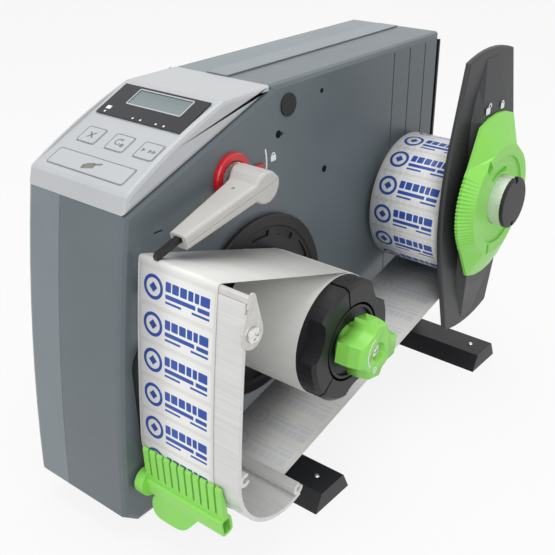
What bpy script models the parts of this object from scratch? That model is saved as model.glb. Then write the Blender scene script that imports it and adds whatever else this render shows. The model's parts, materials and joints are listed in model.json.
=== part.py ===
"""Desk label dispenser: a housing with a key panel, a dispensing plate, a pinch lever, a
comb brake, a liner rewinder with an expanding drum, and a shaft that carries the label roll.

Metres, +Z up. The pieces are laid out in the housing's own frame: X from the outer face of the
side wall that carries the mechanism, Y back from the foot of the front, Z up from the desk.
An empty moves the whole to the middle of its footprint.
"""
import math

import bmesh
import bpy
from mathutils import Vector

for leftover in list(bpy.data.objects):
    bpy.data.objects.remove(leftover, do_unlink=True)

# Clearances
GAP = 0.0003
RUN = 0.0006
OVERRUN = 0.002

# Housing
HOUSING_WIDTH = 0.0974
HOUSING_DEPTH = 0.410
HOUSING_TOP = 0.3078
FOOT_HEIGHT = 0.0156
HOUSING_BOTTOM = FOOT_HEIGHT + GAP
SHELL = 0.003
HOUSING_ROUND = 0.004
COVER_WIDTH = 0.0345
FRONT_CHAMFER_DEPTH = 0.0116
FRONT_CHAMFER_HEIGHT = 0.0098
FRONT_FOOT_SETBACK = 0.0008
FRONT_SWELL = 0.0045
GROOVE_WIDTH = 0.0014
GROOVE_DEPTH = 0.0012
GROOVE_PITCH = 0.0257
GROOVE_FROM_REAR = 0.0236
GROOVE_TOP_DROP = 0.006
GROOVE_COUNT = 3
SCREW_HOLE_RADIUS = 0.0016
SCREW_HOLE_DEPTH = 0.002
LATCH_HOLE_DROP = 0.0382
LATCH_HOLE_PLACE = (0.1821, HOUSING_TOP - LATCH_HOLE_DROP)
UPPER_HOLE_DROP = 0.0160
UPPER_HOLE_PLACE = (0.2309, HOUSING_TOP - UPPER_HOLE_DROP)
LOWER_HOLE_PLACE = (0.2366, 0.2271)
WALL_SLOT_PLACE = (0.0519, 0.2354)
WALL_SLOT_LENGTH = 0.0082
WALL_SLOT_WIDTH = 0.0014
PLUG_DROP = 0.0178
PLUG_PLACE = (0.1892, HOUSING_TOP - PLUG_DROP)
PLUG_RADIUS = 0.0088
PLUG_THICKNESS = 0.0012
STRIP_FROM_SEAM = 0.0004
STRIP_WIDTH = 0.0205
STRIP_HEIGHT = 0.0009

# Rear panel with its inlet and switch
REAR_PANEL_THICKNESS = 0.0025
REAR_PANEL_MARGIN = 0.007
INLET_WIDTH = 0.027
INLET_HEIGHT = 0.0195
INLET_UP = 0.060
INLET_DEPTH = 0.020
INLET_WALL = 0.0018
INLET_PIN = 0.0042
INLET_PIN_THICKNESS = 0.002
SWITCH_WIDTH = 0.013
SWITCH_HEIGHT = 0.0195
SWITCH_UP = 0.102
ROCKER_THROW = 0.0016

# Key panel
PANEL_FRONT_Y = 0.0246
PANEL_HEIGHT = 0.0534
PANEL_FRONT_Z = HOUSING_TOP - PANEL_HEIGHT
PANEL_BACK = 0.1696
PANEL_SEAM_ANGLE = 19.3
PANEL_LIP_HEIGHT = 0.0118
PANEL_LIP_LEAN = 0.0031
PANEL_NOSE = 0.0022
PANEL_SLOPE_ANGLE = 24.1
PANEL_SLOPE_LENGTH = 0.0900
PANEL_SLOPE_SWELL = 0.0022
PANEL_SHELL = 0.0045
PANEL_ROUND = 0.003
KEYPAD_LEFT_MARGIN = 0.0039
KEYPAD_RIGHT_MARGIN = 0.0042
KEYPAD_LEFT = HOUSING_WIDTH - KEYPAD_LEFT_MARGIN
KEYPAD_WIDTH = KEYPAD_LEFT - KEYPAD_RIGHT_MARGIN
KEYPAD_START = 0.0010
KEYPAD_RISE = 0.0003
WINDOW_LEFT_SHARE = 0.056
WINDOW_WIDTH_SHARE = 0.935
WINDOW_LEFT = KEYPAD_LEFT - KEYPAD_WIDTH * WINDOW_LEFT_SHARE
WINDOW_WIDTH = KEYPAD_WIDTH * WINDOW_WIDTH_SHARE
WINDOW_START = 0.0582
WINDOW_LENGTH = 0.0333
WINDOW_THICKNESS = 0.0010
LCD_LEFT_SHARE = 0.219
LCD_WIDTH_SHARE = 0.623
LCD_LEFT = WINDOW_LEFT - WINDOW_WIDTH * LCD_LEFT_SHARE
LCD_WIDTH = WINDOW_WIDTH * LCD_WIDTH_SHARE
LCD_START = 0.0726
LCD_LENGTH = 0.0160
LCD_THICKNESS = 0.0006
KEY_THICKNESS = 0.0014
KEY_PROUD = 0.0004
KEY_TRAVEL = 0.0006
KEY_ROUND = 0.0025
SMALL_KEY_LENGTH = 0.0158
SMALL_KEY_WIDTH_SHARE = 0.204
SMALL_KEY_WIDTH = KEYPAD_WIDTH * SMALL_KEY_WIDTH_SHARE
SMALL_KEY_START = 0.0292
SMALL_KEY_LEFT_SHARES = (0.138, 0.4535, 0.765)
WIDE_KEY_LEFT_SHARE = 0.082
WIDE_KEY_WIDTH_SHARE = 0.847
WIDE_KEY_LEFT = KEYPAD_LEFT - KEYPAD_WIDTH * WIDE_KEY_LEFT_SHARE
WIDE_KEY_WIDTH = KEYPAD_WIDTH * WIDE_KEY_WIDTH_SHARE
WIDE_KEY_START = 0.0041
WIDE_KEY_LENGTH = 0.0158

# Feet
FOOT_REACH = 0.0876
FOOT_INSET = 0.006
FOOT_BASE_WIDTH = 0.0435
FOOT_TOP_WIDTH = 0.0290
FRONT_FOOT_Y = 0.1354
REAR_FOOT_FROM_REAR = 0.0193
REAR_FOOT_Y = HOUSING_DEPTH - REAR_FOOT_FROM_REAR
FOOT_SCREW_RADIUS = 0.0021
FOOT_SCREW_HEIGHT = 0.0010
FOOT_SCREW_FROM_END = 0.0155

# The rewinder's axis, and the lever's in the room above its flange
REWIND_Y = 0.1507
REWIND_Z = 0.1388
FLANGE_RADIUS = 0.0745
LEVER_Y = 0.1240
LEVER_RISE_SHARE = 0.413
FLANGE_TOP = REWIND_Z + FLANGE_RADIUS
LEVER_Z = FLANGE_TOP + (HOUSING_TOP - FLANGE_TOP) * LEVER_RISE_SHARE

# Dispensing plate: a drawn aluminium profile, flat at the front and curled under
PLATE_LEFT = 0.0053
PLATE_RIGHT = 0.0955
PLATE_WALL = 0.0030
BEND_Y = 0.0663
BEND_Z = 0.0915
BEND_RADIUS = 0.0490
BEND_END_ANGLE = -70.0
FRONT_START_LEAN = 2.3
PLATE_TOP_Y = 0.0288
PLATE_TOP_DROP = 0.0233
PLATE_TOP_Z = LEVER_Z - PLATE_TOP_DROP
PLATE_SWELL = 0.0015
PLATE_HEIGHT_SHARE = 0.966
CHANNEL_RADIUS = 0.0050
CHANNEL_BORE = 0.0022
CHANNEL_MOUTH = 38.0
CHANNEL_SINK = 0.0012
FRONT_MOUTH_ANGLE = 10.0
TOP_MOUTH_ANGLE = 0.0
LIP_MOUTH_ANGLE = 40.0
FRONT_CHANNEL_Z = 0.0960
TOP_CHANNEL_DROP = 0.0270
TOP_CHANNEL_Z = PLATE_TOP_Z - TOP_CHANNEL_DROP
MOUNT_DISC_Y = 0.0380
MOUNT_DISC_Z = 0.1430
MOUNT_DISC_RADIUS = 0.0190
MOUNT_HEEL_Y = 0.0500
MOUNT_HEEL_Z = 0.0840
MOUNT_HEEL_RADIUS = 0.0290
MOUNT_BORE_RADIUS = 0.0180

# Steel peel edge, folded round the end of the plate
NOSE_RADIUS = 0.0020
NOSE_BACK_ANGLE = 20.0
NOSE_FRONT_ANGLE = 176.0
EDGE_SHEET = 0.0013
EDGE_SKIRT = 0.0140
EAR_RADIUS = 0.0100
EAR_TIP_RADIUS = 0.0026
EAR_TIP_RISE = 0.0250
EAR_NOTCH = 0.0017
EAR_NOTCH_RISE = 0.0172
SCREW_HEAD_RADIUS = 0.0054
SCREW_HEAD_HEIGHT = 0.0030
SCREW_SHANK_RADIUS = 0.0018
SCREW_SHANK_LENGTH = 0.0120
SCREW_CROSS_WIDTH = 0.0012
SCREW_CROSS_LENGTH = 0.0060
SCREW_CROSS_DEPTH = 0.0014
SCREW_CROSS_TURN = 30.0
SCREW_DOME_SHARE = 0.7
SCREW_CROWN_SHARE = 0.4

# Pinch lever with its adjusting ring
LEVER_DROP = 14.5
BARREL_RADIUS = 0.0120
BARREL_START = 0.0052
BARREL_END = 0.0345
LEVER_LENGTH = 0.0760
LEVER_TOP = 0.0078
LEVER_UNDER = 0.0055
LEVER_TIP_UNDER = 0.0032
LEVER_TIP_LEFT = 0.0140
LEVER_TIP_RIGHT = 0.0282
LEVER_HUB_LEFT = 0.0085
LEVER_HUB_START_SHARE = 0.1
LEVER_PARTING = 0.0016
LEVER_ROUND = 0.0024
LEVER_ROUND_SHARE = 0.6
LEVER_ROUND_STEPS = 3
BARREL_BACK_SHARES = (0.9, 0.7, 0.4, 0.0)
BARREL_FRONT_SHARES = (0.4, 0.65, 0.8, 0.95, 1.4)
ARM_SHARES = (0.5, 0.8, 0.97, 1.0)
LEVER_HOLE_ALONG = 0.0190
LEVER_HOLE_ACROSS = 0.0205
LEVER_HOLE_RADIUS = 0.0014
PIVOT_RADIUS = 0.0040
PIVOT_END = 0.0290
PIVOT_FLANGE_RADIUS = 0.0118
RING_RADIUS = 0.0181
RING_THICKNESS = 0.0038
RING_POINTER_REACH = 0.0335
RING_POINTER_WIDTH = 0.0055
RING_POINTER_THICKNESS = 0.0016
RING_POINTER_ANGLE = -3.0
TONGUE_LEFT = 0.0174
TONGUE_WIDTH = 0.0070
TONGUE_THICKNESS = 0.0038
TONGUE_SUNK = 0.0090
TONGUE_HEEL_SHARE = 0.55
TONGUE_TIP_SHARES = ((0.0, 0.0), (0.9, 0.0), (0.96, 0.12), (1.0, 0.4))

# Label and liner path
WEB_LEFT = 0.0070
WEB_WIDTH = 0.0672
WEB_THICKNESS = 0.0004
WEB_NOSE_ANGLE = 172.0

# Comb brake under the plate
COMB_AXIS_Y = 0.0196
COMB_AXIS_Z = 0.0535
COMB_LEFT = 0.0088
COMB_RIGHT = 0.0820
COMB_TIP_Z = 0.0872
COMB_FINGER = 0.0018
COMB_FINGER_WAIST_SHARE = 0.7
COMB_FINGERS = 11
COMB_SLOT_WIDTH = 0.0018
COMB_SLOT_BOTTOM_Z = 0.0640
COMB_TUBE_WIDTH = 0.0108
COMB_TUBE_HEIGHT = 0.0150
COMB_FLAT_FROM_Z = 0.0740
COMB_TUBE_WALL = 0.0020
COMB_TUBE_TILT = 8.0
COMB_TUBE_ROUND_SHARE = 0.36
COMB_KNOB_RADIUS = 0.0105
COMB_KNOB_START = 0.0030
COMB_TAB_LEFT = 0.0130
COMB_TAB_RIGHT = 0.0580
COMB_TAB_DROP = 0.0270
COMB_TAB_THICKNESS = 0.0022
COMB_ROD_RADIUS = 0.0030
COMB_ROD_REACH = 0.0700

# Rewinder
FLANGE_START = 0.0009
FLANGE_THICKNESS = 0.0048
FLANGE_RIM = 0.0085
FLANGE_DISH = 0.0016
FLANGE_WINDOW_OUTER = 0.0625
FLANGE_WINDOW_DEPTH = 0.0050
FLANGE_WINDOWS = 12
FLANGE_WINDOW_SPREAD = 19.0
DRUM_RADIUS = 0.0464
DRUM_START = 0.0063
DRUM_END = 0.0905
DRUM_WALL = 0.0060
DRUM_CHAMFER = 0.0026
DRUM_CAP = 0.0150
DRUM_MOUTH_RADIUS = 0.0305
DRUM_SPLIT = 0.0013
DRUM_SPLIT_ANGLE = 99.0
DRUM_SEGMENTS = 3
DRUM_SEGMENT_STEPS = 14
SCALLOP_RADIUS = 0.0240
SCALLOP_DISTANCE = 0.0620
SCALLOP_WIDTH = 0.0130
HUB_RADIUS = 0.0262
HUB_END = 0.0878
HUB_WAIST_RADIUS = 0.0170
DRUM_RING_THICKNESS = 0.0020
DRUM_RING_WIDTH = 0.0075
DRUM_RELEASE = 0.0005
REWIND_SHAFT_RADIUS = 0.0050
REWIND_SHAFT_INNER_END = 0.0290
KNOB_RADIUS = 0.0274
KNOB_VALLEY = 0.0204
KNOB_START = 0.0935
KNOB_END = 0.1129
KNOB_BEVEL = 0.0090
KNOB_FACE_EDGE = 0.0010
KNOB_LOBES = 4
KNOB_LOBE_HALF_ANGLE = 17.0
KNOB_FIRST_LOBE = -11.0
KNOB_FLANK_STEPS = 8
KNOB_DIP_SHARE = 1.3
KNOB_BEVEL_SHARE = 0.93
KNOB_FACE_SHARE = 0.90
KNOB_NECK_RADIUS = 0.0190
KNOB_RECESS_RADIUS = 0.0074
KNOB_RECESS_DEPTH = 0.0056
KNOB_SCREW_RADIUS = 0.0048
KNOB_SCREW_HEIGHT = 0.0034
WRAP_THICKNESS = 0.0006

# Unwinder: shaft, label roll and outer guide
UNWIND_FROM_REAR = 0.0566
UNWIND_Y = HOUSING_DEPTH - UNWIND_FROM_REAR
UNWIND_Z = 0.1887
SHAFT_RADIUS = 0.0212
SHAFT_WALL = 0.0026
SHAFT_END = 0.1108
KEYWAY_WIDTH = 0.0030
KEYWAY_DEPTH = 0.0014
BASE_FLANGE_RADIUS = 0.0300
BASE_FLANGE_THICKNESS = 0.0045
CAP_RADIUS = 0.0222
CAP_THICKNESS = 0.0032
CAP_PLUG_DEPTH = 0.0060
CAP_NOTCH_WIDTH = 0.0042
CAP_NOTCH_DEPTH = 0.0045
CORE_BORE_RADIUS = 0.0390
CORE_WALL = 0.0026
ROLL_RADIUS = 0.0570
GUIDE_START = 0.0770
GUIDE_SHEET = 0.0040
GUIDE_EDGE_SHARE = 0.4
GUIDE_REACH = 0.1255
GUIDE_END_HALF_WIDTH = 0.0385
GUIDE_HALF_WIDTH = 0.0700
GUIDE_SIDE_ROUND = 0.0600
GUIDE_SPINE_HEIGHT = 0.0075
GUIDE_SPINE_HALF_WIDTH = 0.0290
GUIDE_SPINE_TAPER = 0.0060
GUIDE_SPINE_LEVEL = 0.0700
GUIDE_SPINE_END = 0.1180
GUIDE_SPINE_END_SHARE = 0.55
GUIDE_SPINE_SHARES = ((-1.0, 0.0), (-0.85, 0.35), (-0.7, 0.8))
GUIDE_BORE_CLEARANCE = 0.0005
LOCK_THICKNESS = 0.0126
LOCK_WALL = 0.0024
LOCK_RADIUS = 0.0572
LOCK_FACE_RADIUS = 0.0480
LOCK_TOP_REACH = 0.0735
LOCK_BOTTOM_REACH = 0.0710
LOCK_POINTER_HALF_WIDTH = 0.0290
LOCK_FLANK_ANGLE = 50.0
LOCK_RIDGES = 19
LOCK_RIDGE_DEPTH = 0.0014
LOCK_KNURL_HALF_SPREAD = 34.0
LOCK_DISH_RADIUS = 0.0385
LOCK_DISH_DEPTH = 0.0016
LOCK_DIAMOND_PLACE = (-0.0265, 0.0345)
LOCK_DIAMOND_HALF_WIDTH = 0.0050
LOCK_DIAMOND_HALF_HEIGHT = 0.0066
LOCK_POCKET_DEPTH = 0.0040
LOCK_SLOT_PLACE = (-0.0150, -0.0415)
LOCK_SLOT_HALF_WIDTH = 0.0018
LOCK_SLOT_HALF_HEIGHT = 0.0046
LOCK_CRESCENT_INNER = 0.0240
LOCK_CRESCENT_OUTER = 0.0285
LOCK_CRESCENT_START = 72.0
LOCK_CRESCENT_END = 128.0

# Drive inside the housing
CHASSIS_THICKNESS = 0.0030
CHASSIS_FRONT = 0.0400
CHASSIS_REAR_CLEARANCE = 0.0400
CHASSIS_REAR = HOUSING_DEPTH - CHASSIS_REAR_CLEARANCE
CHASSIS_LOW = 0.0300
CHASSIS_DROP = 0.0194
CHASSIS_HIGH = PANEL_FRONT_Z - CHASSIS_DROP
GEAR_MODULE = 0.00125
TOOTH_TIP_SHARE = 0.9
TOOTH_FOOT_SHARE = 1.2
TOOTH_HALF_TIP_SHARE = 0.13
TOOTH_HALF_FOOT_SHARE = 0.36
GEAR_TEETH = 48
PINION_TEETH = 14
GEAR_THICKNESS = 0.0060
GEAR_START = 0.0140
GEAR_BACKLASH = 0.0004
PINION_SHAFT_RADIUS = 0.0025
MOTOR_RADIUS = 0.0180
MOTOR_END = 0.0600
GEARBOX_HALF_WIDTH = 0.0210
GEARBOX_LENGTH = 0.0160
MOTOR_POST_RADIUS = 0.0035
BOARD_FRONT = 0.2220
BOARD_LENGTH = 0.0750
BOARD_LOW = 0.0900
BOARD_HEIGHT = 0.0620
BOARD_THICKNESS = 0.0016
BOARD_STAND = 0.0060
BOARD_POST_RADIUS = 0.0030
BOARD_CHIP_HEIGHT = 0.0030
BOARD_CHIP_SHARES = ((0.25, 0.3, 0.2), (0.6, 0.6, 0.3), (0.8, 0.25, 0.15))

# Round pieces and arcs
FINE = 48
MEDIUM = 32
COARSE = 20
ARC_STEPS = 8
CORNER_REACH_SHARE = 0.45
SMOOTH_ANGLE = 28.0


def paint(name, colour, roughness, metallic=0.0):
    """A plain surface of one colour."""
    surface = bpy.data.materials.new(name)
    surface.use_nodes = True
    shader = surface.node_tree.nodes["Principled BSDF"]
    shader.inputs["Base Color"].default_value = (*colour, 1.0)
    shader.inputs["Roughness"].default_value = roughness
    shader.inputs["Metallic"].default_value = metallic
    surface.diffuse_color = (*colour, 1.0)
    return surface


HOUSING_PAINT = paint("housing_grey", (0.17, 0.20, 0.22), 0.55)
PANEL_PAINT = paint("panel_light_grey", (0.58, 0.59, 0.60), 0.5)
STRIP_PAINT = paint("strip_pale_grey", (0.42, 0.45, 0.47), 0.5)
BLACK = paint("black_plastic", (0.022, 0.022, 0.025), 0.45)
WINDOW_PAINT = paint("window_dark", (0.05, 0.05, 0.055), 0.2)
LCD_PAINT = paint("lcd_grey", (0.26, 0.32, 0.32), 0.25)
GREEN = paint("green_plastic", (0.24, 0.68, 0.12), 0.4)
RED = paint("red_plastic", (0.70, 0.02, 0.03), 0.35)
ALUMINIUM = paint("aluminium", (0.78, 0.78, 0.77), 0.35, 0.9)
STEEL = paint("steel", (0.66, 0.66, 0.66), 0.3, 1.0)
PAPER = paint("label_paper", (0.82, 0.82, 0.80), 0.6)
CARDBOARD = paint("core_board", (0.42, 0.32, 0.22), 0.8)
BOARD_PAINT = paint("board_green", (0.02, 0.16, 0.07), 0.5)

root = bpy.data.objects.new("frame_origin", None)
bpy.context.scene.collection.objects.link(root)


# Outlines are lists of (y, z) pairs, counterclockwise seen from +X.
def arc(centre, radius, start, end, steps):
    """Points on a circle from start to end, degrees from +Y towards +Z."""
    points = []
    for step in range(steps + 1):
        angle = math.radians(start + (end - start) * step / steps)
        points.append((centre[0] + radius * math.cos(angle), centre[1] + radius * math.sin(angle)))
    return points


def circle(centre, radius, sides):
    """A whole circle as an outline."""
    return arc(centre, radius, 0.0, 360.0, sides)[:-1]


def bulged(start, end, swell, steps):
    """An arc from start to end that swells to the right of the way between them."""
    first = Vector(start)
    last = Vector(end)
    chord = (last - first).length
    along = (last - first) / chord
    right = Vector((along.y, -along.x))
    radius = (chord * chord / 4 + swell * swell) / (2 * swell)
    centre = (first + last) / 2 - right * (radius - swell)
    half = math.asin(chord / 2 / radius)
    points = []
    for step in range(steps + 1):
        angle = half * (2 * step / steps - 1)
        point = centre + radius * (right * math.cos(angle) + along * math.sin(angle))
        points.append((point.x, point.y))
    return points


def moved_sideways(points, distance, closed=False):
    """A line or outline moved to its left by distance, with mitred corners."""
    count = len(points)
    moved = []
    for index in range(count):
        here = Vector(points[index])
        before = Vector(points[index - 1]) if closed or index else None
        after = Vector(points[(index + 1) % count]) if closed or index < count - 1 else None
        one = (here - before).normalized() if before else (after - here).normalized()
        two = (after - here).normalized() if after else one
        left_one = Vector((-one.y, one.x))
        left_two = Vector((-two.y, two.x))
        mitre = (left_one + left_two) / (1 + left_one.dot(left_two))
        place = here + mitre * distance
        moved.append((place.x, place.y))
    return moved


def inset(outline, distance):
    """A counterclockwise outline drawn in by distance on every side."""
    return moved_sideways(outline, distance, closed=True)


def rectangle(centre, width, height, turn=0.0):
    """A turned rectangle, counterclockwise."""
    cosine = math.cos(math.radians(turn))
    sine = math.sin(math.radians(turn))
    corners = []
    for y_side, z_side in ((-1, -1), (1, -1), (1, 1), (-1, 1)):
        across = y_side * width / 2
        up = z_side * height / 2
        corners.append((centre[0] + across * cosine - up * sine, centre[1] + across * sine + up * cosine))
    return corners


def rounded(outline, radius, steps=3):
    """An outline with each corner rounded to radius, or less where an edge is short."""
    count = len(outline)
    points = []
    for index in range(count):
        before = Vector(outline[index - 1])
        here = Vector(outline[index])
        after = Vector(outline[(index + 1) % count])
        room = min((before - here).length, (after - here).length)
        reach = min(radius, room * CORNER_REACH_SHARE)
        start = here + (before - here).normalized() * reach
        end = here + (after - here).normalized() * reach
        for step in range(steps + 1):
            share = step / steps
            point = start * (1 - share) ** 2 + here * 2 * share * (1 - share) + end * share ** 2
            points.append((point.x, point.y))
    return points


def link_outline(first, first_radius, second, second_radius, steps):
    """The outline round two circles and the lines that touch both."""
    way = Vector(second) - Vector(first)
    heading = math.degrees(math.atan2(way.y, way.x))
    spread = math.degrees(math.acos((first_radius - second_radius) / way.length))
    near = arc(first, first_radius, heading + spread, heading + 360 - spread, steps)
    far = arc(second, second_radius, heading - spread, heading + spread, steps)
    return near + far


def belt(first, first_radius, second, second_radius):
    """The line that touches two circles, both to its right on the way from first to second."""
    way = Vector(second) - Vector(first)
    along = way / way.length
    left = Vector((-along.y, along.x))
    lean = (first_radius - second_radius) / way.length
    side = along * lean + left * math.sqrt(1 - lean * lean)
    start = Vector(first) + side * first_radius
    end = Vector(second) + side * second_radius
    return (start.x, start.y), (end.x, end.y)


def bearing(centre, point):
    """The direction from centre to point in degrees."""
    return math.degrees(math.atan2(point[1] - centre[1], point[0] - centre[0]))


# Rings are outlines put in space; a shell is a row of rings joined by faces.
def ring(outline, x):
    """An outline at one place along X."""
    return [Vector((x, y, z)) for y, z in outline]


def prism(outline, start, end):
    """A straight bar of one outline along X."""
    return [ring(outline, start), ring(outline, end)]


def softened(outline, start, end, radius, steps=2, both=False):
    """A bar along X whose end, or both ends, are rounded over."""
    rings = []
    if both:
        for step in range(steps):
            angle = math.pi / 2 * step / steps
            drawn = inset(outline, radius * (1 - math.sin(angle)))
            rings.append(ring(drawn, start + radius * (1 - math.cos(angle))))
    rings.append(ring(outline, start + (radius if both else 0.0)))
    for step in range(steps + 1):
        angle = math.pi / 2 * step / steps
        drawn = inset(outline, radius * (1 - math.cos(angle)))
        rings.append(ring(drawn, end - radius + radius * math.sin(angle)))
    return rings


def turned(centre, profile, sides):
    """Circles along X, one for each (x, radius) pair of the profile."""
    return [ring(circle(centre, radius, sides), x) for x, radius in profile]


def box(low, high):
    """A block between two corners."""
    outline = [(low[1], low[2]), (high[1], low[2]), (high[1], high[2]), (low[1], high[2])]
    return prism(outline, low[0], high[0])


def add_shell(work, rings, closed):
    """Faces between neighbouring rings, with ends filled unless the row closes on itself."""
    rows = [[work.verts.new(point) for point in points] for points in rings]
    count = len(rows[0])
    pairs = list(zip(rows, rows[1:]))
    if closed:
        pairs.append((rows[-1], rows[0]))
    for near, far in pairs:
        for index in range(count):
            following = (index + 1) % count
            work.faces.new((near[index], near[following], far[following], far[index]))
    if not closed:
        work.faces.new(rows[0])
        work.faces.new(rows[-1])


def mesh_of(name, shells, origin):
    """A mesh of closed shells, stored round origin. A bored shell closes on itself."""
    work = bmesh.new()
    for rings, closed in shells:
        add_shell(work, rings, closed)
    bmesh.ops.recalc_face_normals(work, faces=work.faces)
    bmesh.ops.translate(work, verts=work.verts, vec=-Vector(origin))
    data = bpy.data.meshes.new(name)
    work.to_mesh(data)
    work.free()
    data.shade_smooth()
    data.set_sharp_from_angle(angle=math.radians(SMOOTH_ANGLE))
    return data


def piece(name, shells, surface, origin=(0.0, 0.0, 0.0)):
    """A named piece of the machine, placed in the housing's frame."""
    item = bpy.data.objects.new(name, mesh_of(name, shells, origin))
    item.data.materials.append(surface)
    item.location = origin
    item.parent = root
    bpy.context.scene.collection.objects.link(item)
    return item


def solid(*shells):
    """Shells with filled ends."""
    return [(rings, False) for rings in shells]


def bored(rings):
    """One shell that closes on itself."""
    return [(rings, True)]


def tool_for(item, operation, label, shells):
    """A hidden body that cuts a piece or is joined to it."""
    helper = bpy.data.objects.new(item.name + "_" + label, mesh_of(label, shells, tuple(item.location)))
    helper.location = item.location
    helper.parent = root
    helper.hide_render = True
    helper.display_type = "WIRE"
    bpy.context.scene.collection.objects.link(helper)
    step = item.modifiers.new(label, "BOOLEAN")
    step.operation = operation
    step.solver = "EXACT"
    step.object = helper


def cut(item, label, *shells):
    """Take shells away from a piece."""
    tool_for(item, "DIFFERENCE", label, solid(*shells))


def join(item, label, *shells):
    """Fuse shells with a piece."""
    tool_for(item, "UNION", label, solid(*shells))


# Housing
def seam_height(y):
    """Height of the seam between housing and key panel."""
    return PANEL_FRONT_Z + math.tan(math.radians(PANEL_SEAM_ANGLE)) * (y - PANEL_FRONT_Y)


def housing_outline():
    """The side view of the housing below the key panel."""
    chamfer_top = (FRONT_FOOT_SETBACK, HOUSING_BOTTOM + FRONT_CHAMFER_HEIGHT)
    panel_corner = (PANEL_FRONT_Y, PANEL_FRONT_Z)
    outline = [
        (FRONT_FOOT_SETBACK + FRONT_CHAMFER_DEPTH, HOUSING_BOTTOM),
        (HOUSING_DEPTH, HOUSING_BOTTOM),
        (HOUSING_DEPTH, HOUSING_TOP),
        (PANEL_BACK + GAP, HOUSING_TOP),
        (PANEL_BACK + GAP, seam_height(PANEL_BACK)),
    ]
    return outline + bulged(panel_corner, chamfer_top, FRONT_SWELL, ARC_STEPS)


def make_housing():
    """The moulded housing that carries the mechanism on its side wall, open to the left."""
    outline = housing_outline()
    left = -(HOUSING_WIDTH - COVER_WIDTH)
    housing = piece("main_housing", solid(softened(outline, left, 0.0, HOUSING_ROUND)), HOUSING_PAINT)
    cut(housing, "cavity", prism(inset(outline, SHELL), left - OVERRUN, -SHELL))
    grooves = []
    for index in range(GROOVE_COUNT):
        y = HOUSING_DEPTH - GROOVE_FROM_REAR - GROOVE_PITCH * index
        top = HOUSING_TOP - GROOVE_TOP_DROP
        grooves.append(box(
            (-GROOVE_DEPTH, y - GROOVE_WIDTH / 2, HOUSING_BOTTOM + GROOVE_TOP_DROP),
            (OVERRUN, y + GROOVE_WIDTH / 2, top),
        ))
    cut(housing, "grooves", *grooves)
    holes = []
    for place in (LATCH_HOLE_PLACE, UPPER_HOLE_PLACE, LOWER_HOLE_PLACE):
        holes.append(prism(circle(place, SCREW_HOLE_RADIUS, COARSE), -SCREW_HOLE_DEPTH, OVERRUN))
    slot = rectangle(WALL_SLOT_PLACE, WALL_SLOT_LENGTH, WALL_SLOT_WIDTH)
    holes.append(prism(slot, -SCREW_HOLE_DEPTH, OVERRUN))
    cut(housing, "holes", *holes)
    bore = circle((REWIND_Y, REWIND_Z), REWIND_SHAFT_RADIUS + RUN, COARSE)
    cut(housing, "shaft_bore", prism(bore, -SHELL - OVERRUN, OVERRUN))
    inlet, switch = rear_openings()
    inside = HOUSING_DEPTH - SHELL - OVERRUN
    outside = HOUSING_DEPTH + OVERRUN
    inlet_block = rear_block(inlet, GAP, inside, outside)
    switch_block = rear_block(switch, RUN, inside, outside)
    cut(housing, "rear_openings", inlet_block, switch_block)


def make_left_cover():
    """The cover of the other side, a shallow tray that closes the housing."""
    outline = housing_outline()
    right = -(HOUSING_WIDTH - COVER_WIDTH) - GAP
    rings = softened(outline, -right, HOUSING_WIDTH, HOUSING_ROUND)
    mirrored = [[Vector((-point.x, point.y, point.z)) for point in points] for points in rings]
    cover = piece("left_cover", solid(mirrored), HOUSING_PAINT)
    cut(cover, "cavity", prism(inset(outline, SHELL), -HOUSING_WIDTH + SHELL, right + OVERRUN))


def make_top_strip():
    """The paler strip let on along the top, beside the cover's seam."""
    left = COVER_WIDTH - HOUSING_WIDTH + STRIP_FROM_SEAM
    rear = HOUSING_DEPTH - HOUSING_ROUND
    low = HOUSING_TOP + GAP
    strip = box((left, PANEL_BACK + GAP, low), (left + STRIP_WIDTH, rear, low + STRIP_HEIGHT))
    piece("top_strip", solid(strip), STRIP_PAINT)


def rear_openings():
    """Middle across, height, half width and half height of the inlet and the switch."""
    middle = -(HOUSING_WIDTH - COVER_WIDTH) / 2
    low = HOUSING_BOTTOM + REAR_PANEL_MARGIN
    inlet = (middle, low + INLET_UP, INLET_WIDTH / 2, INLET_HEIGHT / 2)
    switch = (middle, low + SWITCH_UP, SWITCH_WIDTH / 2, SWITCH_HEIGHT / 2)
    return inlet, switch


def rear_block(opening, clearance, start, end):
    """A block through the rear wall at one of its openings."""
    middle, height, half_width, half_height = opening
    wide = half_width + clearance
    tall = half_height + clearance
    return box((middle - wide, start, height - tall), (middle + wide, end, height + tall))


def make_rear_panel():
    """The dark rear panel with the openings for its inlet and its switch."""
    start = HOUSING_DEPTH + GAP
    end = start + REAR_PANEL_THICKNESS
    low = HOUSING_BOTTOM + REAR_PANEL_MARGIN
    high = HOUSING_TOP - REAR_PANEL_MARGIN
    left = -HOUSING_WIDTH + REAR_PANEL_MARGIN
    panel = piece("rear_panel", solid(box((left, start, low), (0.0, end, high))), BLACK)
    inlet, switch = rear_openings()
    cut(panel, "inlet_opening", rear_block(inlet, GAP, start - OVERRUN, end + OVERRUN))
    cut(panel, "switch_opening", rear_block(switch, RUN, start - OVERRUN, end + OVERRUN))
    make_inlet(inlet, end)
    make_rocker(switch, start, end)


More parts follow.
